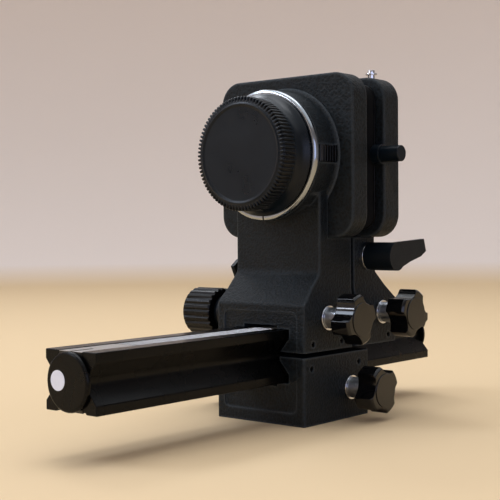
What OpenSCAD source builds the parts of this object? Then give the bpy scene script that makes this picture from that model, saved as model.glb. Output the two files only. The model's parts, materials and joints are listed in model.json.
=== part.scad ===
// Macro bellows on a dovetail focusing rail.
// Millimetres. X runs across the rail, +Y along it towards the lens, +Z up.
// The origin is the tripod socket's axis on the underside of the tripod block.

/* [Tripod block] */
// Width of the block and of both standards' bases
block_w = 63.4; // [60:0.1:68]
// Length of the tripod block along the rail
block_len = 62.7; // [58:0.1:72]
// Height of the tripod block
block_h = 37.9; // [36:0.1:42]
// Radius of the upright edges of the castings
edge_r = 1.6; // [0.8:0.1:2.4]
// Radius of the tripod screw hole
tripod_hole_r = 2.7; // [2.4:0.1:4.4]
// Radius of the tripod bush
tripod_bush_r = 8; // [7:0.1:9]
// Depth of the tripod bush
tripod_bush_h = 8; // [6:0.1:8.5]
// Distance from the tripod socket to the block's drive shaft
block_shaft_y = 13.15; // [12:0.05:15]

/* [Rail] */
// Length of the dovetail rail
rail_len = 293; // [270:1:330]
// Width of the rail over its flanges
rail_w = 35.7; // [34:0.1:38]
// Height of the rail
rail_h = 29.4; // [28.4:0.1:31]
// Height of each flange's upright edge
flange_edge = 4.7; // [3.8:0.1:5.4]
// Width of the rail at its waist
waist_w = 22.8; // [21:0.1:25]
// Height of the straight part of the waist
waist_h = 4.8; // [4.6:0.1:6]
// Distance from the rail's mid height down to the top of the tripod block
waist_below = 0.3; // [0.1:0.05:0.6]
// Distance from the tripod socket back to the rail's middle
rail_back = 24.05; // [15:0.05:32]
// Width of the rack channel in the rail's top
rack_channel_w = 16; // [14:0.1:18]
// Width of the groove's mouth under the rail
groove_w = 21.4; // [20.8:0.1:24]
// Radius of the discs that close the rail's ends
disc_r = 14.5; // [13:0.1:15.5]
// Thickness of the end discs
disc_t = 2.6; // [1.6:0.1:4]
// Radius of the end disc's spigot
spigot_r = 4; // [3:0.1:5]
// Length of the end disc's spigot
spigot_len = 8; // [5:0.1:12]
// Gap behind the end discs' spigots
spigot_gap = 0.2; // [0.1:0.05:0.5]
// Radius of the round label
label_r = 4.9; // [4:0.1:6]
// Distance of the label to the side of the disc's middle
label_x = 6; // [0:0.1:7]
// Distance of the label above the disc's middle
label_up = 0.5; // [0:0.1:3]
// Thickness of the label
label_t = 0.2; // [0.1:0.05:0.4]

/* [Rack drive] */
// Tooth module of the racks and pinions
tooth_module = 0.6; // [0.55:0.01:0.64]
// Teeth on each pinion
pinion_teeth = 23; // [22:1:25]
// Width of each pinion
pinion_w = 12; // [9:0.1:12.4]
// Room round each pinion in its casting
pinion_room = 0.7; // [0.5:0.1:1]
// Thinning of each tooth that gives the racks their play
tooth_thinning = 0.12; // [0.1:0.01:0.2]
// Thickness of the racks over their teeth
rack_t = 2.6; // [2.4:0.05:3.2]
// Depth of the tooth tips below the rail's faces
rack_sink = 0.3; // [0.2:0.05:0.6]
// Length at the rear of the upper rack without teeth
rack_plain = 35; // [20:0.5:45]
// Length of the slot in the upper rack's plain end
rack_slot_len = 14.5; // [8:0.5:18]
// Width of the slot in the upper rack's plain end
rack_slot_w = 2; // [1:0.1:3]
// Radius of the drive shafts
shaft_r = 3; // [2.5:0.05:3.3]
// Radius of the shaft bushes
bush_r = 4.8; // [4.4:0.05:5.2]
// Length of each shaft bush
bush_len = 10; // [7:0.1:11]
// Radius of the ribbed drive knobs
knob_r = 14.4; // [13:0.1:15]
// Length of the ribbed drive knobs
knob_len = 21.8; // [15:0.1:26]
// Wall at the drive knobs' closed ends
knob_end_wall = 2; // [1.5:0.1:4]
// Gap between the drive knobs and their collars
knob_gap = 0.4; // [0.2:0.05:0.8]
// Chamfer round the drive knobs' outer ends
knob_chamfer = 1.6; // [0.8:0.1:2.4]
// Ribs round each drive knob
knob_ribs = 24; // [20:1:32]
// Depth of the drive knob's grooves
rib_depth = 1; // [0.6:0.1:1.4]
// Share of each rib's pitch that its flat top takes
rib_share = 0.35; // [0.25:0.05:0.7]
// Radius of the collars behind the drive knobs
collar_r = 11; // [9:0.1:14]
// Length of the collars behind the drive knobs
collar_len = 13.7; // [9:0.1:17]
// Length of the step at the collars' outer ends
collar_step = 3; // [1:0.1:5]
// Depth of the step at the collars' outer ends
collar_groove = 1; // [0.5:0.1:2]

/* [Locks] */
// Radius of the chrome lock washers
washer_r = 7; // [6.6:0.1:8.5]
// Thickness of the chrome lock washers
washer_t = 1.2; // [0.8:0.1:1.6]
// Radius of the chrome lock stems
stem_r = 6; // [5:0.1:6.4]
// Length of the chrome lock stems
stem_len = 10.05; // [5:0.05:14]
// Gap between the lock stems and their washers
stem_gap = 0.15; // [0.1:0.05:0.3]
// Radius of the lock screws inside the castings
screw_r = 4; // [3.5:0.05:4.3]
// Length of the lock screws inside the castings
screw_in = 9.3; // [7:0.1:10.4]
// Radius of the lock knobs over their lobes
lock_r = 14; // [13:0.1:14.6]
// Thickness of the lock knobs
lock_len = 12.1; // [10:0.1:20]
// Depth of the lock screws in the lock knobs
lock_bite = 8; // [6:0.1:9]
// Bevel round the lock knobs' faces
lock_bevel = 1.2; // [0.6:0.1:2.4]
// Lobes on each lock knob
lock_lobes = 4; // [3:1:5]
// Radius of the valleys between the lobes
valley_r = 10; // [8:0.1:12]
// Distance of the valleys' centres from the knob's axis
valley_at = 19.8; // [18:0.1:22]
// Height of the raised round face over the lock knobs' lobes
lock_face_t = 0.5; // [0.2:0.1:1]
// Distance from the raised face out to the valleys
lock_face_in = 0.3; // [0.2:0.1:1]
// Turn of the tripod block's lock knob
block_lock_turn = -31; // [-90:1:90]
// Turn of the rear standard's lock knob
rear_lock_turn = 18; // [-90:1:90]
// Turn of the front standard's lock knob
front_lock_turn = 67; // [-90:1:90]

/* [Dovetail gibs] */
// Thickness of the gibs across the rail
gib_t = 2.2; // [1.6:0.1:2.6]
// Distance of the gibs' ends inside the castings
gib_end = 0.5; // [0.2:0.1:2]
// Height of the gibs' thin edge above the rail's waist
gib_edge = 0.4; // [0.2:0.1:1]
// Radius of the gib screws
gib_screw_r = 1.7; // [1.3:0.05:2]
// Distance of the gib screws from the rail's mid height
gib_screw_u = 6.7; // [5.6:0.1:7]
// Depth of the gib screws' ends below the castings' sides
gib_screw_sink = 0.8; // [0.2:0.1:2]
// Gap between the gib screws' tips and the gibs
gib_screw_gap = 0.05; // [0.02:0.01:0.1]
// Radius over the corners of the gib screws' sockets
gib_socket_r = 0.9; // [0.6:0.05:1.2]
// Depth of the gib screws' sockets
gib_socket_depth = 1.5; // [0.8:0.1:3]
// Distance of the gib screws from the rear standard's outer face
rear_screw_outer = 8.2; // [5:0.1:10]
// Distance of the gib screws from the rear standard's inner face
rear_screw_inner = 11.2; // [6:0.1:14]
// Distance of the gib screws from the front standard's outer face
front_screw_outer = 8.7; // [5:0.1:10]
// Distance of the gib screws from the front standard's inner face
front_screw_inner = 7.3; // [5:0.1:14]
// Distance of the gib screws from the tripod block's rear face
block_screw_rear = 7.1; // [5:0.1:14]
// Distance of the gib screws from the tripod block's front face
block_screw_front = 9.9; // [5:0.1:12]

/* [Standards] */
// Gap between the tripod block and the standards
jaw_gap = 2.6; // [2.5:0.05:3.2]
// Height of each standard's base
base_h = 26.3; // [25.6:0.1:30]
// Height of the sloping shoulder above the base
shoulder_h = 17.3; // [14:0.1:20]
// Width of the standards' necks
neck_w = 60.8; // [56:0.1:63]
// Height over which the standards narrow from their bases to their necks
neck_taper = 8; // [4:0.1:10]
// Gap between the two standards when the bellows is shut
standard_gap = 3; // [2:0.1:6]
// Rear standard: distance from its drive shaft to the inner face
rear_inner = 24.7; // [23:0.1:27]
// Rear standard: distance from its drive shaft to the outer face
rear_outer = 21.9; // [20.5:0.1:24]
// Rear standard: length of the shoulder
rear_shoulder = 16.4; // [14:0.1:17]
// Front standard: distance from its drive shaft to the inner face
front_inner = 27.3; // [26.6:0.1:30]
// Front standard: distance from its drive shaft to the outer face
front_outer = 15.7; // [14.5:0.1:18]
// Front standard: length of the shoulder
front_shoulder = 21.2; // [17:0.1:22]
// Radius between the standards' slopes and necks
neck_fillet = 6; // [3:0.5:14]
// Distance from the tripod socket back to the rear standard's drive shaft
rear_shaft_back = 9.05; // [5:0.05:14]
// Width of the notch over the rack
notch_w = 24; // [18:0.1:26]
// Height of the notch over the rail's top
notch_h = 2.2; // [1.2:0.1:3]
// Border at the sides of the recess in the end faces
recess_border = 5.6; // [3:0.1:7]
// Border under the recess in the tripod block
recess_foot = 6.9; // [4:0.1:9]
// Border over the recess in the standards
recess_head = 4.3; // [2:0.1:6]
// Depth of the recess in the end faces
recess_depth = 0.8; // [0.4:0.1:1.2]
// Radius of the recess's corners
recess_corner = 4; // [2:0.1:6]

/* [Frames] */
// Height of the standards' necks above their underside
stand_h = 63.1; // [58:0.1:66]
// Width of the square frame plates
plate_w = 95.8; // [94:0.1:102]
// Height of the square frame plates
plate_h = 92.6; // [90:0.1:94]
// Radius of the plates' corners
plate_corner = 13.2; // [11:0.1:20]
// Height of the optical axis over the plates' middle
axis_up = 0.5; // [0:0.1:1.5]
// Gap under the plates
plate_gap = 0.1; // [0.05:0.05:2.4]
// Thickness of the rear plate
rear_plate_t = 14.2; // [12:0.1:15.4]
// Thickness of the lens board
lens_board_t = 15.4; // [14:0.1:16]
// Distance from the rear drive shaft to the rear plate's outer face
rear_plate_at = 2.1; // [1:0.1:3]
// Gap between the two plates when the bellows is shut
bellows_room = 17.4; // [16.8:0.1:19]
// Radius of the rear plate's opening
plate_bore_r = 33; // [32.4:0.1:33.6]

/* [Bellows] */
// Half width of the bellows over its pleats
pleat_out = 41.5; // [40.5:0.1:42]
// Half width of the bellows in its valleys
pleat_in = 34.5; // [33.5:0.1:36]
// Pleats in the bellows
pleats = 12; // [8:1:16]
// Radius of the bellows' corners
bellows_corner = 9; // [8:0.1:12]
// Thickness of the bellows cloth in the valleys
cloth_t = 0.6; // [0.4:0.1:0.9]
// Thickness of the folded cloth at the pleats' outer edges
pleat_nip = 2.2; // [1.2:0.1:3]
// Tightening of the bellows' corners in the valleys
valley_tighten = 3; // [2:0.1:4]
// Thickness of the bellows clamp frames
clamp_t = 1.5; // [1:0.1:2]
// Border of the clamp frames past the bellows
clamp_border = 0.5; // [0.2:0.1:1.5]
// Radius of the corners of the clamp frames' openings
clamp_corner = 5; // [3:0.1:8]

/* [Camera mount] */
// Radius of the round boss and of the chrome mount ring
boss_r = 37; // [36:0.1:38]
// Length of the boss in front of the rear plate
boss_len = 17.2; // [16:0.1:19]
// Width of the flare at the boss's foot on the rear plate
boss_flare = 2.4; // [1:0.1:4]
// Thickness of the chrome mount ring
mount_ring_t = 2.7; // [2:0.1:3.4]
// Radius of the mount ring's front edge
mount_ring_edge = 1.8; // [0.8:0.1:1.9]
// Radius of the rotating sleeve
sleeve_r = 29; // [28:0.1:29.6]
// Thickness of the retainer behind the sleeve
retainer_t = 2; // [1.4:0.1:3]
// Gap round the retainer
retainer_gap = 1; // [0.5:0.1:1.5]
// Distance of the retainer's opening from the sleeve's bore
retainer_lip = 1; // [0.5:0.1:2]
// Radius of the throat
throat_r = 21; // [20:0.1:21.2]
// Radius of the bayonet tube
tube_r = 22; // [21.8:0.1:22.4]
// Length of the bayonet tube
tube_len = 5; // [4.5:0.1:6]
// Radius of the bayonet claws
claw_r = 23.4; // [23:0.1:23.6]
// Thickness of the bayonet claws
claw_t = 1.5; // [1:0.1:1.8]
// Claws or lugs round each bayonet
claw_count = 3; // [3:1:4]
// Angle that each claw or lug spans
claw_spread = 60; // [40:1:70]
// Width of the index line on the mount ring
index_w = 1; // [0.6:0.1:2]
// Length of the index line on the mount ring
index_len = 2.6; // [2:0.1:4]
// Depth of the index line on the mount ring
index_depth = 0.3; // [0.2:0.05:0.6]
// Number of mount screws on each bayonet ring
mount_screw_count = 5; // [3:1:6]
// Length of the mount lock button
button_len = 15; // [11:0.1:15.4]
// Height of the mount lock button
button_h = 9; // [7:0.1:11]
// Depth of the mount lock button inside the boss
button_depth = 4.6; // [4:0.1:5]
// Travel of the mount lock button
button_travel = 1.5; // [0.8:0.1:1.8]
// Rise of the mount lock button over the boss
button_rise = 0.4; // [0.2:0.1:1]
// Ribs on the mount lock button
button_ribs = 6; // [4:1:7]
// Height of the ribs on the mount lock button
button_rib_h = 0.8; // [0.4:0.1:1.2]
// Share of the button ribs' pitch that each rib takes
button_rib_share = 0.6; // [0.4:0.05:0.7]
// Radius of the spring under the mount lock button
button_spring_r = 1.8; // [1.4:0.1:2.4]
// Depth of that spring in the mount lock button
button_spring_in = 1.4; // [0.8:0.1:2.4]
// Room round that spring in the mount lock button
spring_room = 0.2; // [0.1:0.05:0.4]
// Wall of the springs' tubes
spring_wall = 0.5; // [0.3:0.1:0.8]

/* [Rear cap] */
// Radius of the rear cap over its teeth
cap_r = 31.6; // [30.4:0.1:33]
// Depth of the rear cap
cap_depth = 20.3; // [19.6:0.1:26]
// Radius of the cap's flared edge
cap_flare_r = 34.4; // [34:0.1:36]
// Length of the toothed band
cap_band = 10; // [6:0.1:10.6]
// Teeth round the cap
cap_teeth = 86; // [60:1:96]
// Height of the cap's teeth
cap_tooth_h = 0.7; // [0.4:0.1:0.9]
// Share of the teeth's pitch that each flat top takes
cap_tooth_share = 0.44; // [0.3:0.02:0.6]
// Radius of the ring round the cap's face
cap_ring_r = 27.4; // [26:0.1:28.4]
// Width of the ring round the cap's face
cap_ring_w = 1.2; // [0.8:0.1:1.8]
// Height of that ring over the cap's rim
cap_rim = 0.4; // [0.2:0.1:0.8]
// Bevel in front of the toothed band
cap_bevel = 0.3; // [0.2:0.1:0.6]
// Depth of the groove behind the toothed band
cap_neck = 0.5; // [0.3:0.1:0.8]
// Length of the groove behind the toothed band
cap_neck_len = 0.6; // [0.4:0.1:1.2]
// Swell of the cap's skirt where its flare starts
cap_swell = 0.6; // [0.2:0.1:1]
// Distance from the toothed band to the start of the flare
cap_skirt = 4.6; // [3:0.1:6]
// Width of the cap's flared edge
cap_edge = 1; // [0.6:0.1:1.6]
// Depth of the cap's face behind its rim
cap_face_depth = 0.6; // [0.4:0.1:1.4]
// Radius of the cap's hollow
cap_hollow_r = 24.3; // [24:0.1:26]
// Wall of the cap's face
cap_wall = 3; // [2:0.1:4]
// Wall of the cap's flared edge
cap_lip = 2.2; // [1.6:0.1:3]
// Depth of the cap's conical mouth
cap_mouth = 5; // [4:0.1:6]
// Depth of the straight part of the cap's mouth
cap_mouth_edge = 0.8; // [0.4:0.1:1.2]

/* [Lens board] */
// Radius of the chrome lens mount ring
lens_ring_r = 30.5; // [29.5:0.1:33]
// Thickness of the lens mount ring
lens_ring_t = 3.6; // [3:0.1:4.5]
// Radius of the slots between the lens mount's lugs
lens_slot_r = 23.8; // [23.4:0.1:24.2]
// Radius of the lens mount's lugs
lens_lug_r = 22.2; // [21.6:0.1:22.6]
// Thickness of the lens mount's lugs
lens_lug_t = 2; // [1.5:0.1:2.6]
// Distance of the lens board's opening from the lens mount's slots
lens_bore_margin = 1; // [0.6:0.1:1.6]
// Width of the lens board's foot
foot_w = 38; // [30:0.1:42]
// Depth of the lens board's foot in its socket
foot_h = 20; // [16:0.1:22]
// Thickness of the lens board's foot
foot_t = 11; // [8:0.1:12]
// Gap round the lens board's foot
foot_clear = 0.1; // [0.05:0.05:0.3]
// Radius of the lens release button
release_r = 3.4; // [2.8:0.1:4]
// Distance of the lens release button from the optical axis
release_at = 36; // [35.4:0.1:38]
// Rise of the lens release button over the board
release_out = 2.2; // [2:0.1:3]
// Length of the lens release button inside the board
release_in = 4.5; // [3:0.1:5]
// Travel of the lens release button
release_travel = 1.8; // [1:0.1:2]

/* [Levers and plunger] */
// Radius of the clamp levers' hubs
lever_r = 8.2; // [7:0.1:9]
// Rise of the levers' hubs over their wings
hub_rise = 1.4; // [0.4:0.1:2]
// Thickness of the clamp levers' wings
wing_t = 2.6; // [2:0.1:5.5]
// Width of the relief groove round the levers' hubs
hub_groove_w = 1; // [0.6:0.1:1.6]
// Depth of the relief groove round the levers' hubs
hub_groove_depth = 0.8; // [0.4:0.1:1.2]
// Thickness of the chrome washers behind the levers
lever_washer_t = 3; // [1:0.1:4]
// Gap between the levers' wings and the plates' edges
wing_gap = 0.5; // [0.4:0.1:1.5]
// Radius of the clamp levers' pins
lever_pin_r = 3; // [2.5:0.1:4]
// Reach of the clamp levers' wings
wing_reach = 33.7; // [28:0.1:35]
// Length by which the left lever's wing is shorter
left_wing_cut = 5.4; // [0:0.1:9]
// Turn by which the left lever's wing rests lower
left_lever_rest = 8; // [0:1:20]
// Rise of the wings' upper edge over the hubs
wing_rise = 1.6; // [0.5:0.1:3]
// Slant of the wings' tips
wing_slant = 2.4; // [1:0.1:4]
// Height of the lower corner of the wings' tips
wing_tip = 2.5; // [1:0.1:4]
// Length of the curved underside of the wings' tips
wing_nose = 5.5; // [3:0.1:8]
// Depth of the wings under the hubs' middle at the nose
wing_nose_drop = 0.5; // [0:0.1:1.5]
// Length of the wings' thin end
wing_thin = 17.7; // [14:0.1:19]
// Depth of the wings under the hubs' middle at the thin end
wing_thin_drop = 3.4; // [2:0.1:5]
// Angle at which the wings' underside leaves the hubs
wing_root_angle = 69.5; // [60:0.5:80]
// Distance from the front drive shaft back to the levers
lever_back = 14.7; // [13.4:0.1:16]
// Distance from the front standard's top down to the levers
lever_drop = 11.1; // [9:0.1:14]
// Radius of the stop-down plunger
plunger_r = 4.6; // [3.6:0.05:5]
// Distance from the lens board's inner face back to the plunger
plunger_off = 3.2; // [2.6:0.1:3.6]
// Height of the plunger above the optical axis
plunger_up = 0.6; // [0:0.1:4]
// Wall of the plunger's housing
housing_wall = 1.1; // [0.8:0.1:1.6]
// Length of the plunger's housing
housing_len = 5.6; // [5:0.1:8]
// Wall at the inner end of the plunger's housing
housing_floor = 1; // [0.6:0.1:1.4]
// Gap between the bellows and the plunger's housing
housing_gap = 2; // [1:0.1:3]
// Radius of the spring behind the plunger
plunger_spring_r = 3.3; // [2:0.1:3.6]
// Reach of the plunger past the board's side
plunger_past = 13.6; // [10:0.1:18]
// Travel of the plunger
plunger_travel = 3; // [1:0.1:3.2]
// Radius of the cable socket's post
socket_r = 2.1; // [1.9:0.05:2.6]
// Radius of the cable socket's flange
socket_flange_r = 3.35; // [3:0.05:4]
// Height of the cable socket over the board
socket_h = 4.6; // [3.6:0.1:6]
// Height of the cable socket's flange over the board
socket_flange_up = 1.8; // [0.5:0.1:2.5]
// Thickness of the cable socket's flange
socket_flange_t = 1; // [0.6:0.1:1.5]
// Depth of the cable socket in the board
socket_depth = 5; // [4:0.1:8]
// Distance of the cable socket from the board's side
socket_edge = 12.9; // [10:0.1:22]
// Distance of the cable socket from the board's inner face
socket_in = 6.2; // [5:0.1:10]
// Depth of the cable socket's hole
socket_hole_len = 7; // [5:0.1:8]
// Radius of the cable socket's hole
socket_hole_r = 1.3; // [1:0.05:1.5]

/* [Fits] */
// Gap between the rail and what slides on it
rail_clear = 0.25; // [0.15:0.01:0.4]
// Radial running clearance of shafts and sleeves
run_clear = 0.05; // [0.02:0.01:0.09]
// Radial clearance of parts fitted in one body
seat_clear = 0.02; // [0.01:0.01:0.04]
// Gap between faces that move past each other
face_gap = 0.3; // [0.2:0.05:0.4]

/* [Hidden] */
$fn = 64;
eps = 0.01;
// Overshoot of cuts past the faces that they open
over = 1;

// Rail heights
rail_mid = block_h + waist_below;
rail_z0 = rail_mid - rail_h / 2;
rail_z1 = rail_mid + rail_h / 2;
rail_y0 = -rail_back - rail_len / 2;
rail_y1 = rail_y0 + rail_len;
slope_lo = waist_h / 2;
slope_hi = rail_h / 2 - flange_edge;

// Rack and pinion
pitch = PI * tooth_module;
pitch_r = tooth_module * pinion_teeth / 2;
pressure = 20;
rack_addendum = tooth_module;
rack_dedendum = 1.42 * tooth_module;
pinion_addendum = 0.84 * tooth_module;
pinion_dedendum = 1.42 * tooth_module;
rack_floor = rack_sink + rack_t;
cavity_r = pitch_r + pinion_addendum + pinion_room;
cavity_w = pinion_w + 2 * pinion_room;
groove_floor_w = groove_w - 2 * rack_floor;
rack_side_clear = 0.1;
upper_rack_w = rack_channel_w - 2 * rack_side_clear;
lower_rack_w = groove_floor_w - 2 * rack_side_clear;

// Shaft axes, as distances from the rail's mid height
shaft_u = rail_h / 2 - rack_sink - rack_addendum + pitch_r;
rear_shaft_y = -rear_shaft_back;
front_shaft_y = rear_shaft_y + rear_inner + standard_gap + front_inner;

// Heights of the standards
carriage_z = block_h + jaw_gap;
base_top = carriage_z + base_h;
shoulder_top = base_top + shoulder_h;
neck_top = carriage_z + stand_h;
plate_z0 = neck_top + plate_gap;
plate_z1 = plate_z0 + plate_h;
plate_mid = plate_z0 + plate_h / 2;
axis_z = plate_mid + axis_up;

// Places along the rail
rear_plate_y0 = rear_shaft_y + rear_plate_at;
rear_plate_y1 = rear_plate_y0 + rear_plate_t;
board_y0 = rear_plate_y1 + bellows_room;
board_y1 = board_y0 + lens_board_t;
boss_y0 = rear_plate_y0 - boss_len;
ring_y1 = boss_y0 - face_gap;
ring_y0 = ring_y1 - mount_ring_t;
cap_y1 = ring_y0 - face_gap;
cap_y0 = cap_y1 - cap_depth;
bellows_y0 = rear_plate_y1 + clamp_t;
bellows_y1 = board_y0 - clamp_t - face_gap;

// Places across the rail
side = block_w / 2;
neck_side = neck_w / 2;
screw_x0 = side - screw_in;
shaft_x1 = screw_x0 - face_gap;
collar_x = side + collar_len;
knob_x0 = collar_x + knob_gap;
knob_x1 = knob_x0 + knob_len;
shaft_x0 = -knob_x1 + knob_end_wall;
washer_x = side + washer_t;
stem_x0 = washer_x + stem_gap;
stem_x1 = stem_x0 + stem_len;
lock_x1 = stem_x1 + lock_len;
lever_washer_x = neck_side + lever_washer_t;
lever_x0 = lever_washer_x + face_gap;
lever_x1 = plate_w / 2 + wing_gap + wing_t;
lever_z = neck_top - lever_drop;
lever_y = front_shaft_y - lever_back;
foot_y = board_y0 + lens_board_t / 2;

// Mount lock button
button_y = (boss_y0 + rear_plate_y0) / 2;
button_back = boss_r - button_depth;
button_floor = button_back - button_travel - face_gap;

// Countersunk screws of the bayonet rings
screw_head_r = 1.7;
screw_shank_r = 0.9;
screw_head_t = 1;
screw_len = 6;
mount_screw_at = (tube_r + sleeve_r) / 2;
lens_screw_at = (lens_slot_r + lens_ring_r) / 2;

// Stop-down plunger in its housing on the board's inner face
plunger_y = board_y0 - plunger_off;
plunger_z = axis_z + plunger_up;
housing_r = plunger_r + housing_wall;
housing_x0 = pleat_out + housing_gap;
housing_x1 = housing_x0 + housing_len;
plunger_floor = housing_x0 + housing_floor;
plunger_x0 = plunger_floor + plunger_travel + face_gap;
plunger_reach = plate_w / 2 + plunger_past;
socket_x = plate_w / 2 - socket_edge;
socket_y = board_y0 + socket_in;

// Gib screws, as distances along the rail from each drive shaft
rear_gib_screws_at = [-rear_outer + rear_screw_outer, rear_inner - rear_screw_inner];
front_gib_screws_at = [front_outer - front_screw_outer, -front_inner + front_screw_inner];
block_gib_screws_at = [
  -block_len / 2 + block_screw_rear - block_shaft_y,
  block_len / 2 - block_screw_front - block_shaft_y
];

// Depth of the cap teeth's roots under the band that they stand on
tooth_sink = 0.1;

// Finishes as seen
casting_black = "#26272a";
rail_black = "#141416";
knob_black = "#101012";
cap_black = "#1a1a1b";
cloth_black = "#0c0c0d";
chrome = "#c9cdd2";
steel = "#8f9398";
brass = "#b08d4a";
label_white = "#f0f0ee";

// Extrudes an outline in X and Z along the rail
module along_y(y0, y1) {
  translate([0, y1, 0])
    rotate([90, 0, 0])
      linear_extrude(y1 - y0)
        children();
}

// Extrudes an outline in Y and Z across the rail
module along_x(x0, x1) {
  translate([x0, 0, 0])
    rotate([90, 0, 90])
      linear_extrude(x1 - x0)
        children();
}

// Round bar along Y
module bar_y(r, y0, y1) {
  translate([0, y0, 0])
    rotate([-90, 0, 0])
      cylinder(r = r, h = y1 - y0);
}

// Round bar along X
module bar_x(r, x0, x1) {
  translate([x0, 0, 0])
    rotate([0, 90, 0])
      cylinder(r = r, h = x1 - x0);
}

// Box between two corners
module block(lo, hi) {
  translate(lo)
    cube(hi - lo);
}

// Rectangle with round corners, centred
module round_rect(w, h, r) {
  square([w - 2 * r, h], center = true);
  square([w, h - 2 * r], center = true);
  for (sx = [-1, 1], sy = [-1, 1])
    translate([sx * (w / 2 - r), sy * (h / 2 - r)])
      circle(r);
}

// Rectangle with round corners between two corners, extruded upwards
module round_block(x0, x1, y0, y1, z0, z1, r) {
  translate([(x0 + x1) / 2, (y0 + y1) / 2, z0])
    linear_extrude(z1 - z0)
      round_rect(x1 - x0, y1 - y0, r);
}

// Rail section, with the groove below and the rack channel above
module rail_section() {
  half = [
    [groove_w / 2, -rail_h / 2],
    [rail_w / 2, -rail_h / 2],
    [rail_w / 2, -slope_hi],
    [waist_w / 2, -slope_lo],
    [waist_w / 2, slope_lo],
    [rail_w / 2, slope_hi],
    [rail_w / 2, rail_h / 2],
    [rack_channel_w / 2, rail_h / 2],
    [rack_channel_w / 2, rail_h / 2 - rack_floor]
  ];
  mirrored = [for (i = [len(half) - 1 : -1 : 0]) [-half[i][0], half[i][1]]];
  groove = [[-groove_floor_w / 2, rack_floor - rail_h / 2], [groove_floor_w / 2, rack_floor - rail_h / 2]];
  polygon(concat(half, mirrored, groove));
}

// Space that a carriage keeps open for the rail and the gib, from the rail's mid height upwards
module jaw_section() {
  far = rail_clear + gib_t + seat_clear;
  polygon([
    [-waist_w / 2 - rail_clear, 0],
    [-waist_w / 2 - rail_clear, slope_lo],
    [-rail_w / 2 - rail_clear, slope_hi],
    [-rail_w / 2 - rail_clear, rail_h / 2 + rail_clear],
    [rail_w / 2 + far, rail_h / 2 + rail_clear],
    [rail_w / 2 + far, slope_hi],
    [waist_w / 2 + far, slope_lo],
    [waist_w / 2 + far, 0]
  ]);
}

// Gib section between the rail's slope and the casting
module gib_section() {
  near = rail_clear;
  foot_u = slope_lo + gib_edge;
  foot_x = waist_w / 2 + (foot_u - slope_lo) * (rail_w - waist_w) / 2 / (slope_hi - slope_lo);
  polygon([
    [foot_x + near, foot_u],
    [foot_x + near + gib_t, foot_u],
    [rail_w / 2 + near + gib_t, slope_hi],
    [rail_w / 2 + near, slope_hi]
  ]);
}

// Distance across the rail at which a gib screw's tip meets the gib
function gib_tip_x() =
  waist_w / 2 + rail_clear + gib_t
  + (gib_screw_u + gib_screw_r - slope_lo) * (rail_w - waist_w) / 2 / (slope_hi - slope_lo) + gib_screw_gap;

// Involute function in degrees
function involute(a) = tan(a) * 180 / PI - a;

// Half the tooth's angle at radius r
function tooth_half(r) =
  let (base_r = pitch_r * cos(pressure))
  (pitch / 2 - tooth_thinning) / 2 / pitch_r * 180 / PI
  + involute(pressure) - (r > base_r ? involute(acos(base_r / r)) : 0);

// Outline of the pinion, with a tooth along the first axis
module pinion_section() {
  root_r = pitch_r - pinion_dedendum;
  tip_r = pitch_r + pinion_addendum;
  base_r = pitch_r * cos(pressure);
  radii = [root_r, base_r, (base_r + tip_r) / 2, tip_r];
  polygon([
    for (t = [0 : pinion_teeth - 1], s = [-1, 1], i = [0 : 3])
      let (r = radii[s < 0 ? i : 3 - i], a = t * 360 / pinion_teeth + s * tooth_half(r))
      [r * cos(a), r * sin(a)]
  ]);
}

// Turn that brings a pinion tooth into the rack's nearest space
function mesh_turn(y) = ((rail_y0 - y) / pitch - round((rail_y0 - y) / pitch)) * pitch / pitch_r * 180 / PI;

// Side view of a rack, with its back at zero and its teeth upwards
module rack_section(y0, y1) {
  tip = rack_t;
  line = tip - rack_addendum;
  root = line - rack_dedendum;
  half_tip = (pitch / 2 - tooth_thinning) / 2 - rack_addendum * tan(pressure);
  half_root = (pitch / 2 - tooth_thinning) / 2 + rack_dedendum * tan(pressure);
  first = ceil((y0 - rail_y0) / pitch);
  last = floor((y1 - rail_y0) / pitch) - 1;
  teeth = [
    for (i = [first : last])
      let (y = rail_y0 + (i + 0.5) * pitch)
      each [[y - half_root, root], [y - half_tip, tip], [y + half_tip, tip], [y + half_root, root]]
  ];
  polygon(concat([[y1, 0], [y0, 0], [y0, root]], teeth, [[y1, root]]));
}

// Moves upper parts to the rail's mid height at a drive shaft, and lower parts there upside down
module at_shaft(y, lower = false) {
  translate([0, y, rail_mid])
    mirror([0, 0, lower ? 1 : 0])
      children();
}

// Cuts that every carriage has: dovetail, rack notch, pinion space, shaft and lock bores, gib screw holes
module carriage_cuts(y0, y1, screws_at) {
  along_y(y0 - over, y1 + over)
    jaw_section();
  block([-notch_w / 2, y0 - over, rail_h / 2], [notch_w / 2, y1 + over, rail_h / 2 + notch_h]);
  translate([0, 0, shaft_u]) {
    bar_x(cavity_r, -cavity_w / 2, cavity_w / 2);
    bar_x(bush_r + seat_clear, -side - over, shaft_x1);
    bar_x(screw_r + run_clear, 0, side + over);
  }
  for (y = screws_at)
    translate([0, y, gib_screw_u])
      bar_x(gib_screw_r + seat_clear, waist_w / 2, side + over);
}

// Recess in an end face, open towards the rail
module end_recess(y, z0, z1) {
  w = block_w - 2 * recess_border;
  along_y(y - recess_depth, y + recess_depth)
    translate([0, (z0 + z1) / 2])
      round_rect(w, z1 - z0, recess_corner);
}

module gib(y0, y1) {
  color(steel)
    along_y(y0 + gib_end, y1 - gib_end)
      gib_section();
}

module gib_screws(screws_at) {
  x0 = gib_tip_x();
  x1 = side - gib_screw_sink;
  color(steel)
    for (y = screws_at)
      translate([0, y, gib_screw_u])
        difference() {
          bar_x(gib_screw_r, x0, x1);
          translate([x1 - gib_socket_depth, 0, 0])
            rotate([0, 90, 0])
              cylinder(r = gib_socket_r, h = gib_socket_depth + over, $fn = 6);
        }
}

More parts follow.
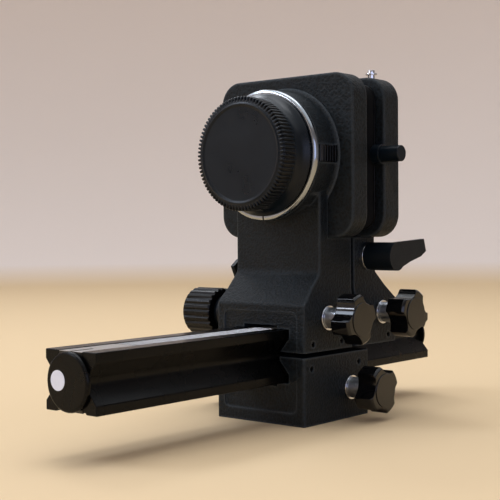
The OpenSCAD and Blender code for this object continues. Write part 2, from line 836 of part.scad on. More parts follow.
module bushes() {
  color(brass)
    translate([0, 0, shaft_u])
      for (s = [-1, 1])
        difference() {
          bar_x(bush_r, s < 0 ? -side : cavity_w / 2, s < 0 ? -side + bush_len : cavity_w / 2 + bush_len);
          bar_x(shaft_r + run_clear, -side - over, side + over);
        }
}

module collar() {
  groove_r = collar_r - collar_groove;
  color(knob_black)
    translate([0, 0, shaft_u])
      difference() {
        union() {
          bar_x(collar_r, -collar_x + collar_step, -side);
          bar_x(groove_r, -collar_x, -side);
        }
        bar_x(shaft_r + run_clear, -collar_x - over, -side + over);
      }
}

module lock_washer() {
  color(chrome)
    translate([0, 0, shaft_u])
      difference() {
        bar_x(washer_r, side, washer_x);
        bar_x(screw_r + run_clear, side - over, washer_x + over);
      }
}

module drive_shaft(turn) {
  color(steel)
    translate([0, 0, shaft_u]) {
      bar_x(shaft_r, shaft_x0, shaft_x1);
      along_x(-pinion_w / 2, pinion_w / 2)
        rotate(turn)
          pinion_section();
    }
}

module drive_knob() {
  rib = 360 / knob_ribs;
  valley = knob_r - rib_depth;
  steps = [[-0.5, valley], [-rib_share / 2, knob_r], [rib_share / 2, knob_r]];
  color(knob_black)
    translate([0, 0, shaft_u])
      difference() {
        intersection() {
          along_x(-knob_x1, -knob_x0)
            polygon([
              for (i = [0 : knob_ribs - 1], s = steps)
                let (a = (i + s[0]) * rib)
                [s[1] * cos(a), s[1] * sin(a)]
            ]);
          translate([-knob_x1, 0, 0])
            rotate([0, 90, 0])
              rotate_extrude()
                polygon([
                  [0, 0],
                  [knob_r - knob_chamfer, 0],
                  [knob_r + eps, knob_chamfer],
                  [knob_r + eps, knob_len - knob_chamfer / 2],
                  [knob_r - knob_chamfer / 2, knob_len],
                  [0, knob_len]
                ]);
        }
        bar_x(shaft_r + seat_clear, shaft_x0 - seat_clear, -knob_x0 + over);
      }
}

module lock_stem() {
  color(chrome)
    translate([0, 0, shaft_u]) {
      bar_x(screw_r, screw_x0, stem_x0 + eps);
      bar_x(stem_r, stem_x0, stem_x1);
      bar_x(screw_r, stem_x1 - eps, stem_x1 + lock_bite);
    }
}

module lock_knob(turn) {
  color(knob_black)
    translate([0, 0, shaft_u])
      difference() {
        union() {
          intersection() {
            along_x(stem_x1, lock_x1)
              rotate(turn)
                difference() {
                  circle(lock_r);
                  for (i = [0 : lock_lobes - 1])
                    rotate((i + 0.5) * 360 / lock_lobes)
                      translate([valley_at, 0])
                        circle(valley_r);
                }
            translate([stem_x1, 0, 0])
              rotate([0, 90, 0])
                rotate_extrude()
                  polygon([
                    [0, 0],
                    [lock_r - lock_bevel / 2, 0],
                    [lock_r + eps, lock_bevel / 2],
                    [lock_r + eps, lock_len - lock_bevel],
                    [lock_r - lock_bevel, lock_len],
                    [0, lock_len]
                  ]);
          }
          bar_x(valley_at - valley_r - lock_face_in, lock_x1 - over, lock_x1 + lock_face_t);
        }
        bar_x(screw_r + seat_clear, stem_x1 - over, stem_x1 + lock_bite + seat_clear);
      }
}

module tripod_block() {
  color(casting_black)
    difference() {
      round_block(-side, side, -block_len / 2, block_len / 2, 0, block_h, edge_r);
      at_shaft(block_shaft_y, lower = true)
        carriage_cuts(-block_len / 2 - block_shaft_y, block_len / 2 - block_shaft_y, block_gib_screws_at);
      for (s = [-1, 1])
        end_recess(s * block_len / 2, recess_foot, block_h + 2 * recess_corner);
      translate([0, 0, -over])
        cylinder(r = tripod_bush_r + seat_clear, h = tripod_bush_h + over);
    }
}

module tripod_bush() {
  color(steel)
    difference() {
      cylinder(r = tripod_bush_r, h = tripod_bush_h);
      translate([0, 0, -over])
        cylinder(r = tripod_hole_r, h = tripod_bush_h + 2 * over);
    }
}

module block_gib() {
  at_shaft(0, lower = true)
    gib(-block_len / 2, block_len / 2);
}

module block_gib_screws() {
  at_shaft(block_shaft_y, lower = true)
    gib_screws(block_gib_screws_at);
}

module block_bushes() {
  at_shaft(block_shaft_y, lower = true)
    bushes();
}

module block_collar() {
  at_shaft(block_shaft_y, lower = true)
    collar();
}

module block_washer() {
  at_shaft(block_shaft_y, lower = true)
    lock_washer();
}

module block_shaft() {
  at_shaft(block_shaft_y, lower = true)
    drive_shaft(mesh_turn(block_shaft_y) - 90);
}

module block_drive_knob() {
  at_shaft(block_shaft_y, lower = true)
    drive_knob();
}

module block_lock_stem() {
  at_shaft(block_shaft_y, lower = true)
    lock_stem();
}

module block_lock_knob() {
  at_shaft(block_shaft_y, lower = true)
    lock_knob(block_lock_turn);
}

module rail() {
  color(rail_black)
    translate([0, 0, rail_mid])
      difference() {
        along_y(rail_y0, rail_y1)
          rail_section();
        bar_y(spigot_r + seat_clear, rail_y0 - over, rail_y0 + spigot_len + spigot_gap);
        bar_y(spigot_r + seat_clear, rail_y1 - spigot_len - spigot_gap, rail_y1 + over);
      }
}

module upper_rack() {
  color(steel)
    difference() {
      translate([0, 0, rail_z1 - rack_floor])
        along_x(-upper_rack_w / 2, upper_rack_w / 2)
          union() {
            rack_section(rail_y0 + rack_plain, rail_y1);
            translate([rail_y0, 0])
              square([rack_plain, rack_t]);
          }
      block(
        [-rack_slot_w / 2, rail_y0 - over, rail_z1 - rack_floor - over],
        [rack_slot_w / 2, rail_y0 + rack_slot_len, rail_z1]
      );
    }
}

module lower_rack() {
  color(steel)
    translate([0, 0, rail_z0 + rack_floor])
      mirror([0, 0, 1])
        along_x(-lower_rack_w / 2, lower_rack_w / 2)
          rack_section(rail_y0, rail_y1);
}

// End disc with a chamfered rim and a spigot, facing backwards from the origin
module end_disc() {
  chamfer = disc_t / 3;
  color(rail_black)
    rotate([90, 0, 0])
      rotate_extrude()
        polygon([
          [0, -spigot_len],
          [spigot_r, -spigot_len],
          [spigot_r, 0],
          [disc_r, 0],
          [disc_r, disc_t - chamfer],
          [disc_r - chamfer, disc_t],
          [0, disc_t]
        ]);
}

module rear_end_disc() {
  translate([0, rail_y0, rail_mid])
    end_disc();
}

module front_end_disc() {
  translate([0, rail_y1, rail_mid])
    mirror([0, 1, 0])
      end_disc();
}

module end_label() {
  color(label_white)
    translate([-label_x, 0, rail_mid + label_up])
      bar_y(label_r, rail_y0 - disc_t - label_t, rail_y0 - disc_t);
}

// Base, shoulder and neck of a standard; the outer face looks along -Y and the drive shaft is at y = 0
module standard_body(inner, outer, shoulder) {
  neck_y = -outer + shoulder;
  slope = atan2(shoulder_h, shoulder);
  reach = neck_fillet * tan((90 - slope) / 2);
  turn_y = neck_y - neck_fillet;
  turn_z = shoulder_top + reach;
  intersection() {
    along_x(-side, side)
      difference() {
        polygon([
          [-outer, carriage_z],
          [-outer, base_top],
          [neck_y - reach * cos(slope), shoulder_top - reach * sin(slope)],
          [turn_y, turn_z],
          [neck_y, turn_z],
          [neck_y, neck_top],
          [inner, neck_top],
          [inner, carriage_z]
        ]);
        translate([turn_y, turn_z])
          circle(neck_fillet + eps);
      }
    round_block(-side, side, -outer, inner, carriage_z - over, neck_top + over, edge_r);
    along_y(-outer - over, inner + over)
      polygon([
        [-side - over, carriage_z - over],
        [side + over, carriage_z - over],
        [side + over, base_top],
        [side, base_top],
        [neck_side, base_top + neck_taper],
        [neck_side, neck_top + over],
        [-neck_side, neck_top + over],
        [-neck_side, base_top + neck_taper],
        [-side, base_top],
        [-side - over, base_top]
      ]);
  }
}

module rear_casting() {
  wall_y = rear_shaft_y - rear_outer + rear_shoulder;
  color(casting_black)
    difference() {
      union() {
        translate([0, rear_shaft_y, 0])
          standard_body(rear_inner, rear_outer, rear_shoulder);
        block([-neck_side, wall_y, neck_top - over], [neck_side, rear_plate_y0, axis_z]);
        translate([0, 0, axis_z])
          bar_y(boss_r, boss_y0, rear_plate_y0);
        translate([0, rear_plate_y0, axis_z])
          rotate([90, 0, 0])
            cylinder(r1 = boss_r + boss_flare, r2 = boss_r, h = boss_flare);
      }
      at_shaft(rear_shaft_y)
        carriage_cuts(-rear_outer, rear_inner, rear_gib_screws_at);
      end_recess(rear_shaft_y - rear_outer, carriage_z - 2 * recess_corner, base_top - recess_head);
      end_recess(rear_shaft_y + rear_inner, carriage_z - 2 * recess_corner, base_top - recess_head);
      translate([0, 0, axis_z])
        bar_y(sleeve_r + run_clear, boss_y0 - over, rear_plate_y0 + over);
      button_pocket();
    }
}

// Pocket of the mount lock button in the boss
module button_pocket() {
  block(
    [button_floor, button_y - button_len / 2 - face_gap, axis_z - button_h / 2 - face_gap],
    [boss_r + boss_flare, button_y + button_len / 2 + face_gap, axis_z + button_h / 2 + face_gap]
  );
}

module mount_button() {
  top = boss_r + button_rise;
  rib_pitch = button_len / button_ribs;
  rib_w = rib_pitch * button_rib_share;
  color(knob_black)
    difference() {
      union() {
        block(
          [button_back, button_y - button_len / 2, axis_z - button_h / 2],
          [top, button_y + button_len / 2, axis_z + button_h / 2]
        );
        for (i = [0 : button_ribs - 1])
          translate([0, button_y - button_len / 2 + (i + 0.5) * rib_pitch - rib_w / 2, 0])
            block(
              [button_back, 0, axis_z - button_h / 2],
              [top + button_rib_h, rib_w, axis_z + button_h / 2]
            );
      }
      translate([0, button_y, axis_z])
        bar_x(
          button_spring_r + spring_room,
          button_back - over,
          button_back + button_spring_in + spring_room
        );
    }
}

module button_spring() {
  color(steel)
    translate([0, button_y, axis_z])
      difference() {
        bar_x(button_spring_r, button_floor, button_back + button_spring_in);
        bar_x(button_spring_r - spring_wall, button_floor - over, button_back + button_spring_in + over);
      }
}

// Frame plate outline, seen along the rail
module plate_outline() {
  translate([0, plate_mid])
    round_rect(plate_w, plate_h, plate_corner);
}

module rear_plate() {
  color(casting_black)
    difference() {
      along_y(rear_plate_y0, rear_plate_y1)
        plate_outline();
      translate([0, 0, axis_z])
        bar_y(plate_bore_r, rear_plate_y0 - over, rear_plate_y1 + over);
    }
}

// Square clamp frame round the end of the bellows
module clamp_frame(y0) {
  rim = 2 * (pleat_out + clamp_border);
  hole = 2 * (pleat_in - cloth_t - clamp_border);
  color(knob_black)
    along_y(y0, y0 + clamp_t)
      translate([0, plate_mid])
        difference() {
          round_rect(rim, rim, bellows_corner + clamp_border);
          round_rect(hole, hole, clamp_corner);
        }
}

module rear_clamp() {
  clamp_frame(rear_plate_y1);
}

module front_clamp() {
  clamp_frame(board_y0 - clamp_t);
}

module rear_gib() {
  at_shaft(rear_shaft_y)
    gib(-rear_outer, rear_inner);
}

module rear_gib_screws() {
  at_shaft(rear_shaft_y)
    gib_screws(rear_gib_screws_at);
}

module rear_bushes() {
  at_shaft(rear_shaft_y)
    bushes();
}

module rear_collar() {
  at_shaft(rear_shaft_y)
    collar();
}

module rear_washer() {
  at_shaft(rear_shaft_y)
    lock_washer();
}

module rear_shaft() {
  at_shaft(rear_shaft_y)
    drive_shaft(mesh_turn(rear_shaft_y) - 90);
}

module rear_drive_knob() {
  at_shaft(rear_shaft_y)
    drive_knob();
}

module rear_lock_stem() {
  at_shaft(rear_shaft_y)
    lock_stem();
}

module rear_lock_knob() {
  at_shaft(rear_shaft_y)
    lock_knob(rear_lock_turn);
}

// Sector of a ring round the optical axis, spread about a middle angle
module ring_sector(r0, r1, middle, spread) {
  intersection() {
    difference() {
      circle(r1);
      circle(r0);
    }
    polygon(concat(
      [[0, 0]],
      [for (a = [-spread / 2 : spread / 4 : spread / 2]) 2 * r1 * [cos(middle + a), sin(middle + a)]]
    ));
  }
}

// Sectors of a ring, as the claws or lugs of a bayonet
module bayonet_sectors(r0, r1) {
  for (i = [0 : claw_count - 1])
    ring_sector(r0, r1, 90 + i * 360 / claw_count, claw_spread);
}

// Places of the screws on a bayonet ring
module screw_places(r) {
  for (i = [0 : mount_screw_count - 1])
    rotate((i + 0.5) * 360 / mount_screw_count)
      translate([r, 0])
        children();
}

// Countersunk screw with its head at the origin
module screw_solid(clear) {
  rotate_extrude()
    polygon([
      [0, -clear],
      [screw_head_r + clear, -clear],
      [screw_shank_r + clear, screw_head_t],
      [screw_shank_r + clear, screw_len + clear],
      [0, screw_len + clear]
    ]);
}

module mount_screw_set(clear) {
  translate([0, ring_y0, axis_z])
    rotate([-90, 0, 0])
      screw_places(mount_screw_at)
        screw_solid(clear);
}

// Points round the mount ring's front edge, sunk under its surface: depth behind the front, radius
function ring_edge(sink) = [
  for (a = [0 : 15 : 90])
    let (r = mount_ring_edge - sink)
    [mount_ring_edge - r * cos(a), boss_r - mount_ring_edge + r * sin(a)]
];

// Side view of the cut for the index line, which follows the ring's front edge
module index_section() {
  inner_r = boss_r - index_len;
  outer_r = boss_r + over;
  cut = concat(
    [[-over, inner_r], [index_depth, inner_r]],
    ring_edge(index_depth),
    [[mount_ring_t + over, boss_r - index_depth], [mount_ring_t + over, outer_r], [-over, outer_r]]
  );
  polygon([for (p = cut) [ring_y0 + p[0], axis_z - p[1]]]);
}

module mount_ring() {
  color(chrome)
    difference() {
      translate([0, 0, axis_z])
        union() {
          translate([0, ring_y0, 0])
            rotate([-90, 0, 0])
              rotate_extrude()
                polygon(concat(
                  [[0, 0]],
                  [for (p = ring_edge(0)) [p[1], p[0]]],
                  [[boss_r, mount_ring_t], [0, mount_ring_t]]
                ));
          bar_y(tube_r, ring_y0 - tube_len, ring_y0 + eps);
          along_y(ring_y0 - tube_len, ring_y0 - tube_len + claw_t)
            bayonet_sectors((throat_r + tube_r) / 2, claw_r);
        }
      translate([0, 0, axis_z])
        bar_y(throat_r, ring_y0 - tube_len - over, ring_y1 + over);
      along_x(-index_w / 2, index_w / 2)
        index_section();
      mount_screw_set(seat_clear);
    }
}

module mount_sleeve() {
  color(casting_black)
    difference() {
      translate([0, 0, axis_z])
        difference() {
          bar_y(sleeve_r, ring_y1, rear_plate_y0 + face_gap);
          bar_y(tube_r, ring_y1 - over, rear_plate_y0 + face_gap + over);
        }
      mount_screw_set(seat_clear);
    }
}

module sleeve_retainer() {
  color(steel)
    translate([0, 0, axis_z])
      difference() {
        bar_y(plate_bore_r - retainer_gap, rear_plate_y0 + face_gap, rear_plate_y0 + face_gap + retainer_t);
        bar_y(tube_r + retainer_lip, rear_plate_y0, rear_plate_y0 + face_gap + retainer_t + over);
      }
}

module mount_screws() {
  color(steel)
    mount_screw_set(0);
}

module rear_cap() {
  band_r = cap_r - cap_tooth_h;
  band_at = cap_rim + cap_bevel;
  band_end = band_at + cap_band;
  tooth = 360 / cap_teeth;
  top = cap_tooth_share / 2;
  tooth_steps = [[-0.5, band_r - tooth_sink], [-top, cap_r], [top, cap_r]];
  ring_in = cap_ring_r - cap_ring_w / 2;
  ring_out = cap_ring_r + cap_ring_w / 2;
  mouth_r = cap_flare_r - cap_lip;
  color(cap_black)
    translate([0, 0, axis_z])
      difference() {
        union() {
          translate([0, cap_y0, 0])
            rotate([-90, 0, 0])
              rotate_extrude()
                polygon([
                  [0, cap_face_depth],
                  [ring_in, cap_face_depth],
                  [ring_in, 0],
                  [ring_out, 0],
                  [ring_out, cap_rim],
                  [band_r - cap_bevel, cap_rim],
                  [band_r, band_at],
                  [band_r, band_end],
                  [band_r - cap_neck, band_end + cap_neck_len],
                  [band_r + cap_swell, band_end + cap_skirt],
                  [cap_flare_r, cap_depth - cap_edge],
                  [cap_flare_r, cap_depth],
                  [0, cap_depth]
                ]);
          along_y(cap_y0 + band_at, cap_y0 + band_end)
            difference() {
              polygon([
                for (i = [0 : cap_teeth - 1], s = tooth_steps)
                  let (a = (i + s[0]) * tooth)
                  [s[1] * cos(a), s[1] * sin(a)]
              ]);
              circle(cap_hollow_r + cap_wall);
            }
        }
        translate([0, cap_y0, 0])
          rotate([-90, 0, 0])
            rotate_extrude()
              polygon([
                [0, cap_face_depth + cap_wall],
                [cap_hollow_r, cap_face_depth + cap_wall],
                [cap_hollow_r, cap_depth - cap_mouth],
                [mouth_r, cap_depth - cap_mouth_edge],
                [mouth_r, cap_depth + over],
                [0, cap_depth + over]
              ]);
      }
}

// Ring of points of the bellows: a square of half width h with round corners
bellows_steps = 4;
function bellows_ring(h, r, y) = [
  for (q = [0 : 3], i = [0 : bellows_steps])
    let (a = q * 90 + i * 90 / bellows_steps, c = (h - r) * sqrt(2))
    [c * cos(q * 90 + 45) + r * cos(a), y, plate_mid + c * sin(q * 90 + 45) + r * sin(a)]
];

module bellows() {
  rows = 2 * pleats + 1;
  count = 4 * (bellows_steps + 1);
  fold = (bellows_y1 - bellows_y0) / (rows - 1);
  tight = bellows_corner - valley_tighten;
  outside = [
    for (k = [0 : rows - 1])
      let (y = bellows_y0 + k * fold)
      each k % 2 == 1 ? bellows_ring(pleat_out, bellows_corner, y) : bellows_ring(pleat_in, tight, y)
  ];
  inside = [
    for (k = [0 : rows - 1])
      let (y = bellows_y0 + k * fold)
      each k % 2 == 1
        ? bellows_ring(pleat_out - pleat_nip, bellows_corner - pleat_nip, y)
        : bellows_ring(pleat_in - cloth_t, tight - cloth_t, y)
  ];
  shift = rows * count;
  skin = [
    for (k = [0 : rows - 2], j = [0 : count - 1])
      let (a = k * count + j, b = k * count + (j + 1) % count)
      each [
        [a, b, b + count], [a, b + count, a + count],
        [shift + b, shift + a, shift + b + count], [shift + b + count, shift + a, shift + a + count]
      ]
  ];
  ends = [
    for (j = [0 : count - 1])
      let (a = j, b = (j + 1) % count, top = (rows - 1) * count)
      each [
        [b, a, shift + b], [shift + b, a, shift + a],
        [top + a, top + b, shift + top + b], [top + a, shift + top + b, shift + top + a]
      ]
  ];
  color(cloth_black)
    polyhedron(points = concat(outside, inside), faces = concat(skin, ends));
}

// Moves a standard's parts to the front drive shaft, with the outer face looking along +Y
module at_front() {
  translate([0, front_shaft_y, 0])
    mirror([0, 1, 0])
      children();
}

module front_casting() {
  color(casting_black)
    difference() {
      at_front()
        standard_body(front_inner, front_outer, front_shoulder);
      at_shaft(front_shaft_y)
        carriage_cuts(-front_inner, front_outer, front_gib_screws_at);
      end_recess(front_shaft_y - front_inner, carriage_z - 2 * recess_corner, base_top - recess_head);
      end_recess(front_shaft_y + front_outer, carriage_z - 2 * recess_corner, base_top - recess_head);
      block(
        [-foot_w / 2 - foot_clear, foot_y - foot_t / 2 - foot_clear, plate_z0 - foot_h - foot_clear],
        [foot_w / 2 + foot_clear, foot_y + foot_t / 2 + foot_clear, plate_z0 + over]
      );
      translate([0, lever_y, lever_z])
        bar_x(lever_pin_r + run_clear, -neck_side - over, neck_side + over);
    }
}

module lens_board() {
  color(casting_black)
    difference() {
      union() {
        along_y(board_y0, board_y1)
          plate_outline();
        block(
          [-foot_w / 2, foot_y - foot_t / 2, plate_z0 - foot_h],
          [foot_w / 2, foot_y + foot_t / 2, plate_z0 + over]
        );
      }
      translate([0, 0, axis_z])
        bar_y(lens_slot_r + lens_bore_margin, board_y0 - over, board_y1 + over);
      translate([release_at, 0, axis_z])
        bar_y(release_r + run_clear, board_y1 - release_in - release_travel - face_gap, board_y1 + over);
      translate([socket_x, socket_y, plate_z1 - socket_depth])
        cylinder(r = socket_r + seat_clear, h = socket_depth + over);
      translate([0, plunger_y, plunger_z])
        bar_x(plunger_r + run_clear, plunger_floor, plate_w / 2 + over);
      lens_screw_set(seat_clear);
    }
}

module front_gib() {
  at_shaft(front_shaft_y)
    gib(-front_inner, front_outer);
}

module front_gib_screws() {
  at_shaft(front_shaft_y)
    gib_screws(front_gib_screws_at);
}

module front_bushes() {
  at_shaft(front_shaft_y)
    bushes();
}

module front_collar() {
  at_shaft(front_shaft_y)
    collar();
}

module front_washer() {
  at_shaft(front_shaft_y)
    lock_washer();
}

module front_shaft() {
  at_shaft(front_shaft_y)
    drive_shaft(mesh_turn(front_shaft_y) - 90);
}

module front_drive_knob() {
  at_shaft(front_shaft_y)
    drive_knob();
}

module front_lock_stem() {
  at_shaft(front_shaft_y)
    lock_stem();
}

module front_lock_knob() {
  at_shaft(front_shaft_y)
    lock_knob(front_lock_turn);
}

// Outline of a lever's wing, from the hub to its tip
module wing_outline(reach) {
  polygon([
    [0, lever_r],
    [reach - wing_slant, lever_r + wing_rise],
    [reach, wing_tip],
    [reach - wing_nose, -wing_nose_drop],
    [reach - wing_thin, -wing_thin_drop],
    [lever_r * cos(wing_root_angle), -lever_r * sin(wing_root_angle)],
    [0, 0]
  ]);
}

module lever(reach) {
  pin_x0 = foot_w / 2 + face_gap;
  color(knob_black) {
    bar_x(lever_r, lever_x0, lever_x1 + hub_rise);
    bar_x(lever_pin_r, pin_x0, lever_x0 + eps);
    difference() {
      along_x(lever_x1 - wing_t, lever_x1)
        wing_outline(reach);
      bar_x(lever_r + hub_groove_w, lever_x1 - hub_groove_depth, lever_x1 + over);
    }
  }
}

module right_lever() {
  translate([0, lever_y, lever_z])
    lever(wing_reach);
}

module left_lever() {
  translate([0, lever_y, lever_z])
    rotate([180 + left_lever_rest, 0, 0])
      mirror([1, 0, 0])
        lever(wing_reach - left_wing_cut);
}

module lever_washers() {
  color(chrome)
    translate([0, lever_y, lever_z])
      for (s = [-1, 1])
        difference() {
          bar_x(lever_r, s > 0 ? neck_side : -lever_washer_x, s > 0 ? lever_washer_x : -neck_side);
          bar_x(lever_pin_r + run_clear, -lever_washer_x - over, lever_washer_x + over);
        }
}

module lens_screw_set(clear) {
  translate([0, board_y1 + lens_ring_t, axis_z])
    rotate([90, 0, 0])
      screw_places(lens_screw_at)
        screw_solid(clear);
}

module lens_ring() {
  lug_root = lens_slot_r + (lens_ring_r - lens_slot_r) / 10;
  color(chrome)
    difference() {
      translate([0, 0, axis_z])
        union() {
          along_y(board_y1, board_y1 + lens_ring_t)
            difference() {
              circle(lens_ring_r);
              circle(lens_slot_r);
            }
          along_y(board_y1 + lens_ring_t - lens_lug_t, board_y1 + lens_ring_t)
            bayonet_sectors(lens_lug_r, lug_root);
        }
      lens_screw_set(seat_clear);
    }
}

module lens_screws() {
  color(steel)
    lens_screw_set(0);
}

module release_button() {
  color(chrome)
    translate([release_at, 0, axis_z])
      bar_y(release_r, board_y1 - release_in, board_y1 + release_out);
}

module plunger_housing() {
  color(knob_black)
    difference() {
      intersection() {
        translate([0, plunger_y, plunger_z])
          bar_x(housing_r, housing_x0, housing_x1);
        block(
          [housing_x0 - over, plunger_y - housing_r - over, plunger_z - housing_r - over],
          [housing_x1 + over, board_y0, plunger_z + housing_r + over]
        );
      }
      translate([0, plunger_y, plunger_z])
        bar_x(plunger_r + run_clear, plunger_floor, housing_x1 + over);
    }
}

module plunger() {
  color(knob_black)
    translate([0, plunger_y, plunger_z])
      bar_x(plunger_r, plunger_x0, plunger_reach);
}

module plunger_spring() {
  color(steel)
    translate([0, plunger_y, plunger_z])
      difference() {
        bar_x(plunger_spring_r, plunger_floor, plunger_x0);
        bar_x(plunger_spring_r - spring_wall, plunger_floor - over, plunger_x0 + over);
      }
}

// Chrome cable-release socket in the top of the lens board
module cable_socket() {
  color(chrome)
    translate([socket_x, socket_y, plate_z1])
      difference() {
        union() {
          translate([0, 0, -socket_depth])
            cylinder(r = socket_r, h = socket_depth + socket_h);
          translate([0, 0, socket_flange_up])
            cylinder(r = socket_flange_r, h = socket_flange_t);
        }
        translate([0, 0, socket_h - socket_hole_len])
          cylinder(r = socket_hole_r, h = socket_hole_len + over);
      }
}

tripod_block();
tripod_bush();
block_gib();
block_gib_screws();
block_bushes();
block_collar();
block_washer();
block_shaft();
block_drive_knob();
block_lock_stem();
block_lock_knob();
rail();
upper_rack();
lower_rack();
rear_end_disc();
front_end_disc();
end_label();
rear_casting();
rear_plate();
rear_clamp();
rear_gib();
rear_gib_screws();
rear_bushes();
rear_collar();
rear_washer();
rear_shaft();
rear_drive_knob();
rear_lock_stem();
rear_lock_knob();
mount_button();
button_spring();
mount_ring();
mount_sleeve();
sleeve_retainer();
mount_screws();
rear_cap();
bellows();
front_casting();
lens_board();
front_clamp();
front_gib();
front_gib_screws();
front_bushes();
front_collar();
front_washer();
front_shaft();
front_drive_knob();
front_lock_stem();
front_lock_knob();
right_lever();
left_lever();
lever_washers();
lens_ring();
lens_screws();
release_button();
plunger();
plunger_housing();
plunger_spring();
cable_socket();
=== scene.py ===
import json
import math
import random
import bmesh
import bpy
from mathutils import Matrix, Vector


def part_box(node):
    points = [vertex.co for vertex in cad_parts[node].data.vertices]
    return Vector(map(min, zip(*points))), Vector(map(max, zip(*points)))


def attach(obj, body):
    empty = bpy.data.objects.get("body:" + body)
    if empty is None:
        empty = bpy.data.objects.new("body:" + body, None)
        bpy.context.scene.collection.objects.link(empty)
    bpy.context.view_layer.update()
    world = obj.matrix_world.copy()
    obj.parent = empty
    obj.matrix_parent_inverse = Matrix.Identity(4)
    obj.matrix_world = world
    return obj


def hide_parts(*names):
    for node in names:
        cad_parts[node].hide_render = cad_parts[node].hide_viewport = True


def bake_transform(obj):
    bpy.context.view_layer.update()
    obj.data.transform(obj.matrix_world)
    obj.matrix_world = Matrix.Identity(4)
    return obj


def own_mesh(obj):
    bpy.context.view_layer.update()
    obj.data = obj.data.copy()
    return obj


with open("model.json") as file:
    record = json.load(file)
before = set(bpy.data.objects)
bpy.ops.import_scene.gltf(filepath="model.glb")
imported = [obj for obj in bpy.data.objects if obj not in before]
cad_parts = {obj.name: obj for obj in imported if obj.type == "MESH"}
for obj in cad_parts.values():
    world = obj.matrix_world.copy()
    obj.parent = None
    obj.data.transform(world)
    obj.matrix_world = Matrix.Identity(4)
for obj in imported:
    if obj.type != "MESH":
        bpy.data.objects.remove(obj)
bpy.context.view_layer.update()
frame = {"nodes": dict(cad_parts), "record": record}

MM = 0.001
NODES = frame["nodes"]
RECORD = frame["record"]
BODY_OF = {node: body for body, nodes in RECORD["behaviour"]["bodies"].items() for node in nodes}
SLOT_OF = {part["node"]: part["material_slot"] for part in RECORD["subparts"]}
scene = bpy.context.scene
scene.view_settings.view_transform = "Standard"


# Material tools

def linear(hex_colour):
    """sRGB hex colour as linear RGBA."""
    values = [int(hex_colour[i:i + 2], 16) / 255 for i in (1, 3, 5)]
    return [v / 12.92 if v <= 0.04045 else ((v + 0.055) / 1.055) ** 2.4 for v in values] + [1.0]


def per_mm(size):
    """Texture scale whose features are that many millimetres apart."""
    return 1 / (size * MM)


def add_node(tree, kind, inputs=None, **settings):
    """Adds a node, sets its properties, and links or sets its inputs."""
    node = tree.nodes.new(kind)
    for name, value in settings.items():
        setattr(node, name, value)
    for name, value in (inputs or {}).items():
        if isinstance(value, bpy.types.NodeSocket):
            tree.links.new(value, node.inputs[name])
        else:
            node.inputs[name].default_value = value
    return node


def new_material(name, constants):
    """Material with constants on the shader's own sockets, and the place on the piece in metres."""
    material = bpy.data.materials.new(name)
    material.use_nodes = True
    tree = material.node_tree
    shader = tree.nodes["Principled BSDF"]
    for socket, value in constants.items():
        shader.inputs[socket].default_value = value
    place = add_node(tree, "ShaderNodeTexCoord").outputs["Object"]
    return material, tree, shader, place


def wire(tree, shader, **sockets):
    """Links outputs to the shader's sockets."""
    for name, output in sockets.items():
        tree.links.new(output, shader.inputs[name.replace("_", " ")])


def edge_mask(tree, radius, first, full):
    """Mask that rises on edges and corners: where handling rubs a finish, and where the enamel gets a painted
    edge highlight.
    """
    geometry = add_node(tree, "ShaderNodeNewGeometry")
    softened = add_node(tree, "ShaderNodeBevel", {"Radius": radius * MM}, samples=4)
    agree = add_node(
        tree, "ShaderNodeVectorMath",
        {0: softened.outputs["Normal"], 1: geometry.outputs["Normal"]}, operation="DOT_PRODUCT",
    )
    mask = add_node(
        tree, "ShaderNodeMapRange",
        {
            "Value": agree.outputs["Value"], "From Min": 1 - first, "From Max": 1 - full,
            "To Min": 0.0, "To Max": 1.0,
        },
    )
    return mask.outputs["Result"]


# Materials

# Height of the rail's middle, and reach of the racks' tooth tips above and below it
RAIL_MIDDLE = 38.2 * MM
RACK_TIP = 14.4 * MM


